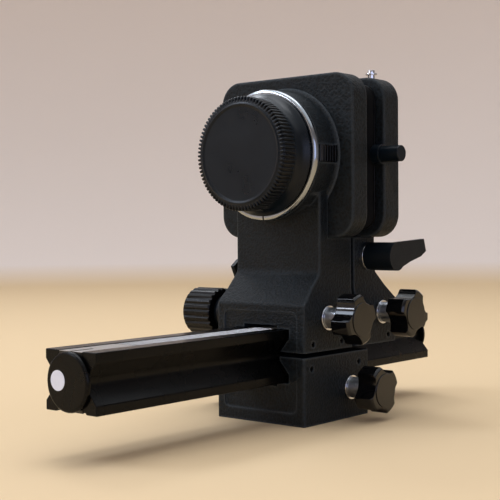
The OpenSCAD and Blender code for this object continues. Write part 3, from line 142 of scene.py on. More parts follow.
def crinkle_enamel(name, grain, depth, soft_radius):
    # Black wrinkle enamel, sprayed on cast aluminium and baked: its skin shrinks into a net of
    # fine ridges that scatter the light, so it looks charcoal with a dull, dusty sheen. It lies
    # thick over the edges and makes them look soft.
    material, tree, shader, place = new_material(name, {"IOR": 1.5, "Specular IOR Level": 0.22})
    ridges = add_node(
        tree, "ShaderNodeTexVoronoi",
        {"Vector": place, "Scale": per_mm(grain), "Smoothness": 0.35}, feature="SMOOTH_F1",
    )
    folds = add_node(
        tree, "ShaderNodeTexNoise",
        {"Vector": place, "Scale": per_mm(grain * 0.6), "Detail": 3.0, "Roughness": 0.6},
    )
    height = add_node(
        tree, "ShaderNodeMath", {0: ridges.outputs["Distance"], 1: folds.outputs["Fac"]}, operation="ADD"
    )
    skin = add_node(tree, "ShaderNodeBevel", {"Radius": soft_radius * MM}, samples=6)
    bump = add_node(
        tree, "ShaderNodeBump",
        {
            "Height": height.outputs["Value"], "Strength": 1.0, "Distance": depth * MM,
            "Normal": skin.outputs["Normal"],
        },
    )
    clouds = add_node(
        tree, "ShaderNodeTexNoise", {"Vector": place, "Scale": per_mm(16), "Detail": 5.0, "Roughness": 0.6}
    )
    dusty = add_node(
        tree, "ShaderNodeMix",
        {0: clouds.outputs["Fac"], 6: linear("#0d1316"), 7: linear("#171f25")}, data_type="RGBA",
    )
    # Painted shade: the paint is near black in the valleys of the wrinkles, where their own shadow would
    # fall.
    valley_shade = add_node(
        tree, "ShaderNodeMapRange",
        {"Value": height.outputs["Value"], "From Min": 0.7, "From Max": 1.1, "To Min": 0.0, "To Max": 1.0},
    )
    paint = add_node(
        tree, "ShaderNodeMix",
        {0: valley_shade.outputs["Result"], 6: linear("#050606"), 7: dusty.outputs[2]}, data_type="RGBA",
    )
    # Painted highlight, partly, with some wear: the edges are a lighter grey, for the light that their
    # rounding catches.
    edge_lightened = add_node(
        tree, "ShaderNodeMix",
        {0: edge_mask(tree, 2.0, 0.006, 0.09), 6: paint.outputs[2], 7: linear("#3a4044")}, data_type="RGBA",
    )
    gloss = add_node(
        tree, "ShaderNodeMapRange",
        {"Value": folds.outputs["Fac"], "From Min": 0.3, "From Max": 0.7, "To Min": 0.48, "To Max": 0.66},
    )
    wire(
        tree, shader, Base_Color=edge_lightened.outputs[2], Roughness=gloss.outputs["Result"],
        Normal=bump.outputs["Normal"],
    )
    return material


def anodised_extrusion():
    # Black anodised aluminium, drawn through a die: deep black and glossy, with faint draw lines
    # along the length and a bright glare wherever it is seen at a low angle.
    material, tree, shader, place = new_material(
        "anodised_aluminium_extruded", {"IOR": 1.6, "Specular IOR Level": 0.1}
    )
    drawn = add_node(
        tree, "ShaderNodeMapping", {"Vector": place, "Scale": (per_mm(0.5), per_mm(90), per_mm(0.5))}
    )
    lines = add_node(
        tree, "ShaderNodeTexNoise", {"Vector": drawn.outputs["Vector"], "Scale": 1.0, "Detail": 2.0}
    )
    smears = add_node(tree, "ShaderNodeTexNoise", {"Vector": place, "Scale": per_mm(22), "Detail": 5.0})
    gloss = add_node(
        tree, "ShaderNodeMapRange",
        {"Value": smears.outputs["Fac"], "From Min": 0.3, "From Max": 0.75, "To Min": 0.2, "To Max": 0.36},
    )
    dye = add_node(
        tree, "ShaderNodeMix",
        {0: edge_mask(tree, 0.6, 0.05, 0.6), 6: linear("#040404"), 7: linear("#3a3a3a")}, data_type="RGBA",
    )
    bump = add_node(
        tree, "ShaderNodeBump", {"Height": lines.outputs["Fac"], "Strength": 0.3, "Distance": 0.02 * MM}
    )
    wire(
        tree, shader, Base_Color=dye.outputs[2], Roughness=gloss.outputs["Result"],
        Normal=bump.outputs["Normal"],
    )
    return material


def anodised_knob():
    # Black anodised aluminium, turned and milled into ribs: satin black, greyer on the rib edges.
    material, tree, shader, place = new_material(
        "anodised_aluminium_ribbed", {"IOR": 1.6, "Specular IOR Level": 0.14}
    )
    turned = add_node(
        tree, "ShaderNodeMapping", {"Vector": place, "Scale": (per_mm(0.4), per_mm(5), per_mm(5))}
    )
    marks = add_node(
        tree, "ShaderNodeTexNoise", {"Vector": turned.outputs["Vector"], "Scale": 1.0, "Detail": 3.0}
    )
    gloss = add_node(
        tree, "ShaderNodeMapRange",
        {"Value": marks.outputs["Fac"], "From Min": 0.3, "From Max": 0.7, "To Min": 0.26, "To Max": 0.4},
    )
    dye = add_node(
        tree, "ShaderNodeMix",
        {0: edge_mask(tree, 0.35, 0.06, 0.6), 6: linear("#060606"), 7: linear("#3c3c3c")}, data_type="RGBA",
    )
    bump = add_node(
        tree, "ShaderNodeBump", {"Height": marks.outputs["Fac"], "Strength": 0.25, "Distance": 0.03 * MM}
    )
    wire(
        tree, shader, Base_Color=dye.outputs[2], Roughness=gloss.outputs["Result"],
        Normal=bump.outputs["Normal"],
    )
    return material


def glossy_moulding():
    # Black ABS, moulded in a polished tool: a wet-looking gloss, barely rippled, with fine
    # handling scratches that dull it in patches.
    material, tree, shader, place = new_material(
        "abs_moulded_glossy", {"IOR": 1.53, "Specular IOR Level": 0.4}
    )
    ripple = add_node(tree, "ShaderNodeTexNoise", {"Vector": place, "Scale": per_mm(6), "Detail": 1.0})
    handled = add_node(
        tree, "ShaderNodeTexNoise",
        {"Vector": place, "Scale": per_mm(3.5), "Detail": 6.0, "Roughness": 0.7},
    )
    gloss = add_node(
        tree, "ShaderNodeMapRange",
        {"Value": handled.outputs["Fac"], "From Min": 0.35, "From Max": 0.75, "To Min": 0.06, "To Max": 0.17},
    )
    pigment = add_node(
        tree, "ShaderNodeMix",
        {0: edge_mask(tree, 0.6, 0.1, 0.8), 6: linear("#070708"), 7: linear("#1d1d1d")}, data_type="RGBA",
    )
    bump = add_node(
        tree, "ShaderNodeBump", {"Height": ripple.outputs["Fac"], "Strength": 0.2, "Distance": 0.1 * MM}
    )
    wire(
        tree, shader, Base_Color=pigment.outputs[2], Roughness=gloss.outputs["Result"],
        Normal=bump.outputs["Normal"],
    )
    return material


def satin_moulding(name, smoothest, roughest, rub_width):
    # Black ABS, moulded in a spark-eroded tool: an even satin grain, greyer where it is handled,
    # with painted shade, near black, in the gaps of any fine teeth.
    # The grain is drawn 0.35 mm wide, coarser than the real one, so that it still shows.
    material, tree, shader, place = new_material(name, {"IOR": 1.53, "Specular IOR Level": 0.2})
    grain = add_node(tree, "ShaderNodeTexNoise", {"Vector": place, "Scale": per_mm(0.35), "Detail": 2.0})
    handled = add_node(tree, "ShaderNodeTexNoise", {"Vector": place, "Scale": per_mm(11), "Detail": 5.0})
    gloss = add_node(
        tree, "ShaderNodeMapRange",
        {
            "Value": handled.outputs["Fac"], "From Min": 0.3, "From Max": 0.7,
            "To Min": smoothest, "To Max": roughest,
        },
    )
    handling = add_node(
        tree, "ShaderNodeMix",
        {0: handled.outputs["Fac"], 6: linear("#060c13"), 7: linear("#0a131a")}, data_type="RGBA",
    )
    gap = add_node(tree, "ShaderNodeAttribute", attribute_name="tooth_gap_shade")
    # Painted shade: near black in the gaps between fine teeth.
    pigment = add_node(
        tree, "ShaderNodeMix",
        {0: gap.outputs["Fac"], 6: handling.outputs[2], 7: linear("#020202")}, data_type="RGBA",
    )
    edge_lightened = add_node(
        tree, "ShaderNodeMix",
        {0: edge_mask(tree, rub_width, 0.08, 0.7), 6: pigment.outputs[2], 7: linear("#2b2c2d")},
        data_type="RGBA",
    )
    bump = add_node(
        tree, "ShaderNodeBump", {"Height": grain.outputs["Fac"], "Strength": 0.35, "Distance": 0.04 * MM}
    )
    wire(
        tree, shader, Base_Color=edge_lightened.outputs[2], Roughness=gloss.outputs["Result"],
        Normal=bump.outputs["Normal"],
    )
    return material


def mirror_metal(name, dark, bright, smoothest, roughest):
    # Polished metal, chromium over brass or stainless steel: a cool mirror with hazy wiping marks.
    material, tree, shader, place = new_material(name, {"Metallic": 1.0})
    wiped = add_node(
        tree, "ShaderNodeTexNoise", {"Vector": place, "Scale": per_mm(4), "Detail": 6.0, "Roughness": 0.65}
    )
    gloss = add_node(
        tree, "ShaderNodeMapRange",
        {
            "Value": wiped.outputs["Fac"], "From Min": 0.3, "From Max": 0.75,
            "To Min": smoothest, "To Max": roughest,
        },
    )
    tint = add_node(
        tree, "ShaderNodeMix",
        {0: wiped.outputs["Fac"], 6: linear(dark), 7: linear(bright)}, data_type="RGBA",
    )
    wire(tree, shader, Base_Color=tint.outputs[2], Roughness=gloss.outputs["Result"])
    return material


def turned_chrome():
    # Chromium plated over brass, turned and left with its fine grooves: they stretch every
    # reflection along the stem, so it shows as bright bands with soft ends.
    material, tree, shader, place = new_material(
        "chromium_plated_turned", {"Metallic": 1.0, "Anisotropic": 0.8, "Anisotropic Rotation": 0.25}
    )
    round_stem = add_node(tree, "ShaderNodeTangent", direction_type="RADIAL", axis="X")
    turned = add_node(
        tree, "ShaderNodeMapping", {"Vector": place, "Scale": (per_mm(0.5), per_mm(8), per_mm(8))}
    )
    grooves = add_node(
        tree, "ShaderNodeTexNoise", {"Vector": turned.outputs["Vector"], "Scale": 1.0, "Detail": 3.0}
    )
    gloss = add_node(
        tree, "ShaderNodeMapRange",
        {"Value": grooves.outputs["Fac"], "From Min": 0.3, "From Max": 0.7, "To Min": 0.27, "To Max": 0.31},
    )
    tint = add_node(
        tree, "ShaderNodeMix",
        {0: grooves.outputs["Fac"], 6: linear("#ccd1d9"), 7: linear("#dfe2e8")}, data_type="RGBA",
    )
    wire(
        tree, shader, Base_Color=tint.outputs[2], Roughness=gloss.outputs["Result"],
        Tangent=round_stem.outputs["Tangent"],
    )
    return material


def ground_metal(name, dark, bright, grit, rough):
    # Metal cut or ground to size and left bare: grey or yellow, with fine parallel tool marks.
    material, tree, shader, place = new_material(name, {"Metallic": 1.0})
    ground = add_node(
        tree, "ShaderNodeMapping", {"Vector": place, "Scale": (per_mm(grit * 12), per_mm(grit), per_mm(grit))}
    )
    marks = add_node(
        tree, "ShaderNodeTexNoise", {"Vector": ground.outputs["Vector"], "Scale": 1.0, "Detail": 3.0}
    )
    tint = add_node(
        tree, "ShaderNodeMix", {0: marks.outputs["Fac"], 6: linear(dark), 7: linear(bright)}, data_type="RGBA"
    )
    gloss = add_node(
        tree, "ShaderNodeMapRange",
        {
            "Value": marks.outputs["Fac"], "From Min": 0.3, "From Max": 0.7,
            "To Min": rough, "To Max": rough + 0.14,
        },
    )
    bump = add_node(
        tree, "ShaderNodeBump", {"Height": marks.outputs["Fac"], "Strength": 0.3, "Distance": 0.02 * MM}
    )
    wire(
        tree, shader, Base_Color=tint.outputs[2], Roughness=gloss.outputs["Result"],
        Normal=bump.outputs["Normal"],
    )
    return material


def greased_shaded_rack():
    # Steel rack, milled and oiled: bright along the tips of its teeth, with dark old grease packed
    # in the spaces between them, and painted shade there too: the flanks are dark up to just under the tips.
    material, tree, shader, place = new_material("steel_milled_greased_shaded", {"IOR": 1.5})
    marks = add_node(tree, "ShaderNodeTexNoise", {"Vector": place, "Scale": per_mm(1.2), "Detail": 4.0})
    height = add_node(tree, "ShaderNodeSeparateXYZ", {"Vector": place})
    from_middle = add_node(
        tree, "ShaderNodeMath", {0: height.outputs["Z"], 1: RAIL_MIDDLE}, operation="SUBTRACT"
    )
    reach = add_node(tree, "ShaderNodeMath", {0: from_middle.outputs["Value"]}, operation="ABSOLUTE")
    # Dark grease and painted shade below a thin band at the tips of the teeth
    tips_clear_of_grease_and_shade = add_node(
        tree, "ShaderNodeMapRange",
        {
            "Value": reach.outputs["Value"],
            "From Min": RACK_TIP - 0.14 * MM, "From Max": RACK_TIP - 0.06 * MM,
            "To Min": 0.0, "To Max": 1.0,
        },
    )
    steel = add_node(
        tree, "ShaderNodeMix",
        {0: marks.outputs["Fac"], 6: linear("#a2a3a4"), 7: linear("#d0d1d2")}, data_type="RGBA",
    )
    tint = add_node(
        tree, "ShaderNodeMix",
        {0: tips_clear_of_grease_and_shade.outputs["Result"], 6: linear("#100e0b"), 7: steel.outputs[2]}, data_type="RGBA",
    )
    gloss = add_node(
        tree, "ShaderNodeMapRange",
        {"Value": marks.outputs["Fac"], "From Min": 0.3, "From Max": 0.7, "To Min": 0.26, "To Max": 0.4},
    )
    wire(
        tree, shader, Base_Color=tint.outputs[2], Roughness=gloss.outputs["Result"],
        Metallic=tips_clear_of_grease_and_shade.outputs["Result"],
    )
    return material


def coated_cloth():
    # Tightly woven cotton with a black rubber proofing: matt and nearly black, with a soft bloom
    # on the folds. The threads are drawn 0.7 mm apart, wider than real ones, so that they show.
    material, tree, shader, place = new_material(
        "cotton_woven_rubber_proofed",
        {"IOR": 1.5, "Specular IOR Level": 0.25, "Sheen Weight": 0.15, "Sheen Roughness": 0.5},
    )
    threads = {"Vector": place, "Scale": per_mm(0.7) / math.tau, "Distortion": 0.4}
    warp = add_node(tree, "ShaderNodeTexWave", threads, bands_direction="X")
    weft = add_node(tree, "ShaderNodeTexWave", threads, bands_direction="Z")
    weave = add_node(
        tree, "ShaderNodeMath", {0: warp.outputs["Fac"], 1: weft.outputs["Fac"]}, operation="MULTIPLY"
    )
    bump = add_node(
        tree, "ShaderNodeBump", {"Height": weave.outputs["Value"], "Strength": 0.4, "Distance": 0.05 * MM}
    )
    bloom = add_node(tree, "ShaderNodeTexNoise", {"Vector": place, "Scale": per_mm(9), "Detail": 4.0})
    tint = add_node(
        tree, "ShaderNodeMix",
        {0: bloom.outputs["Fac"], 6: linear("#060606"), 7: linear("#0e0e0e")}, data_type="RGBA",
    )
    gloss = add_node(
        tree, "ShaderNodeMapRange",
        {"Value": bloom.outputs["Fac"], "From Min": 0.3, "From Max": 0.7, "To Min": 0.62, "To Max": 0.8},
    )
    wire(
        tree, shader, Base_Color=tint.outputs[2], Roughness=gloss.outputs["Result"],
        Normal=bump.outputs["Normal"],
    )
    return material


def white_vinyl():
    # White vinyl film, die cut: an even, cool, soft white, faintly grey where fingers have been.
    material, tree, shader, place = new_material("vinyl_film_die_cut", {"IOR": 1.52})
    fingers = add_node(tree, "ShaderNodeTexNoise", {"Vector": place, "Scale": per_mm(3), "Detail": 4.0})
    tint = add_node(
        tree, "ShaderNodeMix",
        {0: fingers.outputs["Fac"], 6: linear("#dbe2f5"), 7: linear("#e6ebf9")}, data_type="RGBA",
    )
    gloss = add_node(
        tree, "ShaderNodeMapRange",
        {"Value": fingers.outputs["Fac"], "From Min": 0.3, "From Max": 0.7, "To Min": 0.35, "To Max": 0.5},
    )
    wire(tree, shader, Base_Color=tint.outputs[2], Roughness=gloss.outputs["Result"])
    return material


def filled_paint():
    # Black enamel wiped into an engraved line: dull, and uneven along its edges.
    material, tree, shader, place = new_material("enamel_filled_engraving", {"IOR": 1.5})
    wiped = add_node(tree, "ShaderNodeTexNoise", {"Vector": place, "Scale": per_mm(0.8), "Detail": 3.0})
    tint = add_node(
        tree, "ShaderNodeMix",
        {0: wiped.outputs["Fac"], 6: linear("#0a0a0a"), 7: linear("#1c1c1c")}, data_type="RGBA",
    )
    gloss = add_node(
        tree, "ShaderNodeMapRange",
        {"Value": wiped.outputs["Fac"], "From Min": 0.3, "From Max": 0.7, "To Min": 0.4, "To Max": 0.6},
    )
    wire(tree, shader, Base_Color=tint.outputs[2], Roughness=gloss.outputs["Result"])
    return material


FINISHES = {
    "casting_paint": crinkle_enamel("crinkle_enamel_baked_fine", 1.4, 0.28, 0.7),
    "rail_anodised": anodised_extrusion(),
    "rack_steel": greased_shaded_rack(),
    "bright_steel": ground_metal("steel_ground_bare", "#7b7d80", "#a3a5a8", 0.3, 0.24),
    "bush_brass": ground_metal("brass_turned_bare", "#a1823f", "#c9a95c", 0.3, 0.22),
    "chrome": mirror_metal("chromium_plated_polished", "#c6c9ce", "#dcdde0", 0.07, 0.2),
    "lock_plastic": glossy_moulding(),
    "drive_knob_metal": anodised_knob(),
    "cap_plastic": satin_moulding("abs_moulded_satin", 0.26, 0.36, 0.4),
    "bellows_cloth": coated_cloth(),
    "label_white": white_vinyl(),
}
PLATE_GRAIN = crinkle_enamel("crinkle_enamel_baked_coarse", 1.7, 0.22, 2.8)
LINE_PAINT = filled_paint()
STEM_CHROME = turned_chrome()
LEVER_PLASTIC = satin_moulding("abs_moulded_dull", 0.42, 0.54, 1.1)
RING_STEEL = mirror_metal("stainless_steel_polished", "#92989f", "#abb1b7", 0.09, 0.2)
BLACK_STEEL = ground_metal("steel_blackened_in_oil", "#0d0d0e", "#1f1f21", 0.4, 0.34)


# Mesh tools

# Distance under which points are one, and angles under which faces are flat and over which edges are sharp
WELD = 0.002 * MM
FLAT_ANGLE = math.radians(0.4)
SHARP_ANGLE = math.radians(30)
# Radius of the sharp and of the soft edges on castings and plates, in millimetres
CAST_EDGE = 0.4
CAST_SOFT_EDGE = 1.0


def add_piece(name, mesh, material):
    """Object with that mesh and finish, in the scene."""
    piece = bpy.data.objects.new(name, mesh)
    mesh.materials.clear()
    mesh.materials.append(material)
    scene.collection.objects.link(piece)
    return piece


def smooth(mesh, angle):
    """Smooth faces, split along edges sharper than that many degrees."""
    mesh.shade_smooth()
    mesh.set_sharp_from_angle(angle=math.radians(angle))


def finished_mesh(bm, name, angle=38):
    """Mesh from a finished bmesh, which is freed."""
    mesh = bpy.data.meshes.new(name)
    bm.to_mesh(mesh)
    bm.free()
    smooth(mesh, angle)
    return mesh


def round_edges(bm, radius, segments, clamp, wanted=None):
    """Rounds the sharp outer edges, or those wanted, to a radius in millimetres."""
    sharp = [e for e in bm.edges if e.is_manifold and e.calc_face_angle_signed(0) > SHARP_ANGLE]
    if wanted:
        sharp = [e for e in sharp if wanted(*e.link_faces)]
    bmesh.ops.bevel(
        bm, geom=sharp, offset=radius * MM, offset_type="OFFSET", segments=segments, profile=0.5,
        affect="EDGES", clamp_overlap=clamp,
    )


def rounded_copy(node, radius, material=None, soft_edge=None):
    """Copy of a piece with its sharp outer edges broken, after the soft edges that a test finds."""
    bm = bmesh.new()
    bm.from_mesh(NODES[node].data)
    bmesh.ops.remove_doubles(bm, verts=bm.verts, dist=WELD)
    bmesh.ops.dissolve_limit(bm, angle_limit=FLAT_ANGLE, verts=bm.verts, edges=bm.edges)
    if soft_edge:
        round_edges(bm, CAST_SOFT_EDGE, segments=5, clamp=False, wanted=soft_edge)
    round_edges(bm, radius, segments=3, clamp=True)
    mesh = finished_mesh(bm, node + "_rounded")
    piece = add_piece(node + "_rounded", mesh, material or FINISHES[SLOT_OF[node]])
    piece.modifiers.new("even_shading", "WEIGHTED_NORMAL").keep_sharp = True
    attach(piece, BODY_OF[node])
    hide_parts(node)


# Machined and moulded pieces, with the radius of their edges in millimetres

EDGE_RADIUS = {
    "tripod_block": 0.6, "rear_clamp": 0.3, "front_clamp": 0.3,
    "rail": 0.5, "rear_end_disc": 0.8, "front_end_disc": 0.8, "tripod_bush": 0.25,
    "mount_button": 0.18, "mount_ring": 0.2, "mount_sleeve": 0.2, "lens_ring": 0.3,
    "lever_washers": 0.25, "left_lever": 0.4, "right_lever": 0.4, "release_button": 0.5,
    "plunger": 0.5, "plunger_housing": 0.2, "cable_socket": 0.15,
}
for place in ("block", "rear", "front"):
    EDGE_RADIUS[place + "_collar"] = 0.4
    EDGE_RADIUS[place + "_drive_knob"] = 0.22
    EDGE_RADIUS[place + "_washer"] = 0.25
    EDGE_RADIUS[place + "_lock_stem"] = 0.35
    EDGE_RADIUS[place + "_lock_knob"] = 0.55

OWN_FINISH = {
    "right_lever": LEVER_PLASTIC, "left_lever": LEVER_PLASTIC, "plunger": FINISHES["cap_plastic"],
    "plunger_housing": FINISHES["cap_plastic"], "mount_ring": RING_STEEL,
}
for place in ("block", "rear", "front"):
    OWN_FINISH[place + "_lock_stem"] = STEM_CHROME
    OWN_FINISH[place + "_collar"] = FINISHES["cap_plastic"]
    OWN_FINISH[place + "_gib"] = BLACK_STEEL
    OWN_FINISH[place + "_gib_screws"] = BLACK_STEEL

for node, radius in EDGE_RADIUS.items():
    rounded_copy(node, radius, material=OWN_FINISH.get(node))


# Heights between which a standard's slope and neck lie
SLOPE_FOOT = 66.7 * MM
NECK_TOP = 135 * MM
# Height of the optical axis, and how far out from it a plate's rim begins
ring_low, ring_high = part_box("mount_ring")
AXIS_Z = (ring_low.z + ring_high.z) / 2
PLATE_RIM = 40.5 * MM


def slope_or_neck(facing):
    """Test for the edges of a standard's slope, fillet and neck faces, which look along Y."""
    def is_front(face):
        heights = [v.co.z for v in face.verts]
        upright = abs(face.normal.x) < 0.05 and face.normal.y * facing > 0.3
        return upright and min(heights) > SLOPE_FOOT and max(heights) < NECK_TOP
    return lambda one, other: is_front(one) or is_front(other)


def plate_rim(one, other):
    """Test for the edges between a plate's flat faces and its rim."""
    if abs(one.normal.y) < abs(other.normal.y):
        one, other = other, one
    middle = other.calc_center_median()
    far_out = max(abs(middle.x), abs(middle.z - AXIS_Z)) > PLATE_RIM
    return abs(one.normal.y) > 0.95 and abs(other.normal.y) < 0.05 and far_out


for node, facing in (("rear_casting", -1), ("front_casting", 1)):
    rounded_copy(node, CAST_EDGE, soft_edge=slope_or_neck(facing))
for node in ("rear_plate", "lens_board"):
    rounded_copy(node, CAST_EDGE, material=PLATE_GRAIN, soft_edge=plate_rim)

for node, piece in NODES.items():
    if not piece.hide_render:
        for material_slot in piece.material_slots:
            material_slot.material = OWN_FINISH.get(node, FINISHES[SLOT_OF[node]])


# Rear cap: a turned profile with fine teeth round its front

CAP_TEETH = 86
# Tooth height in millimetres at which the gap beside it gets the full painted shade
FULL_TOOTH = 0.5
# Height round one tooth's pitch: flat root, flanks and flat top
TOOTH_STEPS = [(0.0, 0.0), (0.13, 0.0), (0.24, 0.8), (0.32, 1.0), (0.68, 1.0), (0.76, 0.8), (0.87, 0.0)]
# Depth behind the front and radius in millimetres, at the roots of the teeth and at their tips
CAP_TOOTH_ROWS = [
    ((0.42, 28.9), (0.4, 28.9)),
    ((0.9, 29.6), (0.42, 30.2)),
    ((1.6, 30.3), (0.5, 30.9)),
    ((2.3, 30.75), (0.75, 31.35)),
    ((2.8, 30.9), (1.2, 31.6)),
    ((5.0, 30.9), (5.0, 31.6)),
    ((8.4, 30.9), (8.2, 31.6)),
    ((9.5, 30.9), (9.4, 31.5)),
    ((10.4, 30.9), (10.3, 31.2)),
]
# The plain rows: face and rim, skirt, and inside
CAP_FACE = [
    (0.6, 12.0), (0.6, 25.7), (0.58, 26.0), (0.5, 26.25), (0.1, 27.0), (0.02, 27.25), (0.0, 27.55),
    (0.12, 27.85), (0.34, 28.1), (0.4, 28.45),
]
CAP_SKIRT = [
    (11.1, 30.88), (13.0, 31.0), (15.0, 31.35), (16.3, 31.85), (17.5, 32.6), (18.5, 33.5), (19.1, 34.1),
    (19.4, 34.33), (19.8, 34.4), (20.1, 34.3), (20.3, 34.0),
]
CAP_INSIDE = [
    (20.3, 32.5), (20.15, 32.25), (19.5, 32.2), (15.3, 24.35), (15.0, 24.3), (4.0, 24.3), (3.7, 24.2),
    (3.6, 23.9), (3.6, 12.0),
]


def toothed_cap():
    """Rear cap as one closed surface round the optical axis."""
    low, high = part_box("rear_cap")
    axis = Vector(((low.x + high.x) / 2, 0, (low.z + high.z) / 2))
    plain = [[(point, point) for point in points] for points in (CAP_FACE, CAP_SKIRT, CAP_INSIDE)]
    rows = plain[0] + CAP_TOOTH_ROWS + plain[1] + plain[2]
    turns = [
        (math.tau * (tooth + at) / CAP_TEETH, height)
        for tooth in range(CAP_TEETH) for at, height in TOOTH_STEPS
    ]
    bm = bmesh.new()
    gap = bm.verts.layers.float.new("tooth_gap_shade")
    rings = []
    for root, tip in rows:
        ring = []
        for angle, height in turns:
            depth = (root[0] + (tip[0] - root[0]) * height) * MM
            radius = (root[1] + (tip[1] - root[1]) * height) * MM
            round_axis = Vector((radius * math.sin(angle), low.y + depth, radius * math.cos(angle)))
            vert = bm.verts.new(axis + round_axis)
            # Painted shade in the gap beside each tooth, fuller for taller teeth
            vert[gap] = (1 - height) * min(1, (tip[1] - root[1]) / FULL_TOOTH)
            ring.append(vert)
        rings.append(ring)
    face_middle = bm.verts.new(axis + Vector((0, low.y + CAP_FACE[0][0] * MM, 0)))
    inside_middle = bm.verts.new(axis + Vector((0, low.y + CAP_INSIDE[-1][0] * MM, 0)))
    for i in range(len(turns)):
        n = (i + 1) % len(turns)
        bm.faces.new((face_middle, rings[0][i], rings[0][n]))
        bm.faces.new((inside_middle, rings[-1][n], rings[-1][i]))
        for front, back in zip(rings, rings[1:]):
            bm.faces.new((front[i], back[i], back[n], front[n]))
    bmesh.ops.recalc_face_normals(bm, faces=bm.faces)
    mesh = finished_mesh(bm, "rear_cap_toothed", 50)
    piece = add_piece("rear_cap_toothed", mesh, FINISHES["cap_plastic"])
    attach(piece, BODY_OF["rear_cap"])
    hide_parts("rear_cap")


toothed_cap()


# Bellows

PLEAT_OUT = 41.5 * MM
PLEAT_IN = 34.5 * MM
CORNER_OUT = 9 * MM
CORNER_IN = 6 * MM
# Thickness of the cloth, and its share more at the tips of the folds
CLOTH = 0.5 * MM
FOLD_THICKENING = 2.2
# Unevenness of the pleats' height, in millimetres
PLEAT_WANDER = 0.35
REAR_PLEATS = 12
FRONT_PLEATS = 4
# How far the pleats' spacing is eased so that they lie evenly when the bellows is drawn out
EVEN_SPREAD = 0.6
SIDE_STEPS = 8
CORNER_STEPS = 5
# Fold height at points along one pleat, from valley to valley
PLEAT_PROFILE = [(0.0, 0.0), (0.1, 0.09), (0.42, 0.92), (0.5, 1.0), (0.58, 0.92), (0.9, 0.09)]


def rounded_square(half, corner):
    """Points round a square with round corners."""
    flat = half - corner
    points = []
    for quarter in range(4):
        turn = math.radians(90 * quarter)
        for step in range(CORNER_STEPS + 1):
            angle = math.radians(90 * step / CORNER_STEPS)
            points.append((turn, flat + corner * math.cos(angle), flat + corner * math.sin(angle)))
        for step in range(1, SIDE_STEPS):
            share = step / SIDE_STEPS
            points.append((turn, flat * (1 - 2 * share), half))
    return [
        (x * math.cos(turn) - z * math.sin(turn), x * math.sin(turn) + z * math.cos(turn))
        for turn, x, z in points
    ]


def pleated_half(name, y_start, y_end, pleats, middle_z, seed):
    """Half of the bellows: a closed pleated sleeve from y_start to y_end."""
    uneven = random.Random(seed)
    rows = [(k + at, height) for k in range(pleats) for at, height in PLEAT_PROFILE] + [(pleats, 0.0)]
    outer, inner = [], []
    wander = [uneven.uniform(-PLEAT_WANDER, PLEAT_WANDER) * MM for _ in range(pleats + 1)]
    bm = bmesh.new()
    for at, height in rows:
        share = at / pleats
        eased = 0.5 - math.sin(math.asin(1 - 2 * share) / 3)
        y = y_start + (y_end - y_start) * ((1 - EVEN_SPREAD) * share + EVEN_SPREAD * eased)
        half = PLEAT_IN + (PLEAT_OUT - PLEAT_IN) * height + wander[int(at)] * height
        corner = CORNER_IN + (CORNER_OUT - CORNER_IN) * height
        thick = CLOTH * (1 + FOLD_THICKENING * height)
        outside = rounded_square(half, corner)
        inside = rounded_square(half - thick, corner - thick)
        outer.append([bm.verts.new((x, y, middle_z + z)) for x, z in outside])
        inner.append([bm.verts.new((x, y, middle_z + z)) for x, z in inside])
    count = len(outer[0])
    for k in range(len(rows) - 1):
        for j in range(count):
            n = (j + 1) % count
            bm.faces.new((outer[k][j], outer[k][n], outer[k + 1][n], outer[k + 1][j]))
            bm.faces.new((inner[k][n], inner[k][j], inner[k + 1][j], inner[k + 1][n]))
    for j in range(count):
        n = (j + 1) % count
        bm.faces.new((outer[0][n], outer[0][j], inner[0][j], inner[0][n]))
        bm.faces.new((outer[-1][j], outer[-1][n], inner[-1][n], inner[-1][j]))
    bmesh.ops.recalc_face_normals(bm, faces=bm.faces)
    return add_piece(name, finished_mesh(bm, name, 75), FINISHES["bellows_cloth"])


bellows_low, bellows_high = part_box("bellows")
bellows_mid_z = (bellows_low.z + bellows_high.z) / 2
seam_y = bellows_low.y + (bellows_high.y - bellows_low.y) * REAR_PLEATS / (REAR_PLEATS + FRONT_PLEATS)
rear_folds = pleated_half("bellows_rear_folds", bellows_low.y, seam_y, REAR_PLEATS, bellows_mid_z, 3)
front_folds = pleated_half("bellows_front_folds", seam_y, bellows_high.y, FRONT_PLEATS, bellows_mid_z, 5)
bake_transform(rear_folds)
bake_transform(front_folds)
for folds in (rear_folds, front_folds):
    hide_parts("bellows")


# Index line filled with black on the camera mount ring

RING_R = 37 * MM
RING_T = 2.7 * MM
RING_EDGE = 1.8 * MM
RING_EDGE_STEPS = 6
INDEX_W = 0.98 * MM
INDEX_LEN = 2.55 * MM
INDEX_DEPTH = 0.3 * MM
INDEX_END_GAP = 0.05 * MM
# Shares of the engraved depth between which the paint lies
PAINT_TOP = 0.17
PAINT_FOOT = 0.9


def ring_path(sink):
    """Depth behind the ring's front and radius, from the flat to the back, that far under the steel."""
    path = [(sink, RING_R - INDEX_LEN)]
    for step in range(RING_EDGE_STEPS + 1):
        angle = math.radians(90 * step / RING_EDGE_STEPS)
        reach = RING_EDGE - sink
        path.append((RING_EDGE - reach * math.cos(angle), RING_R - RING_EDGE + reach * math.sin(angle)))
    path.append((RING_T - INDEX_END_GAP, RING_R - sink))
    return path


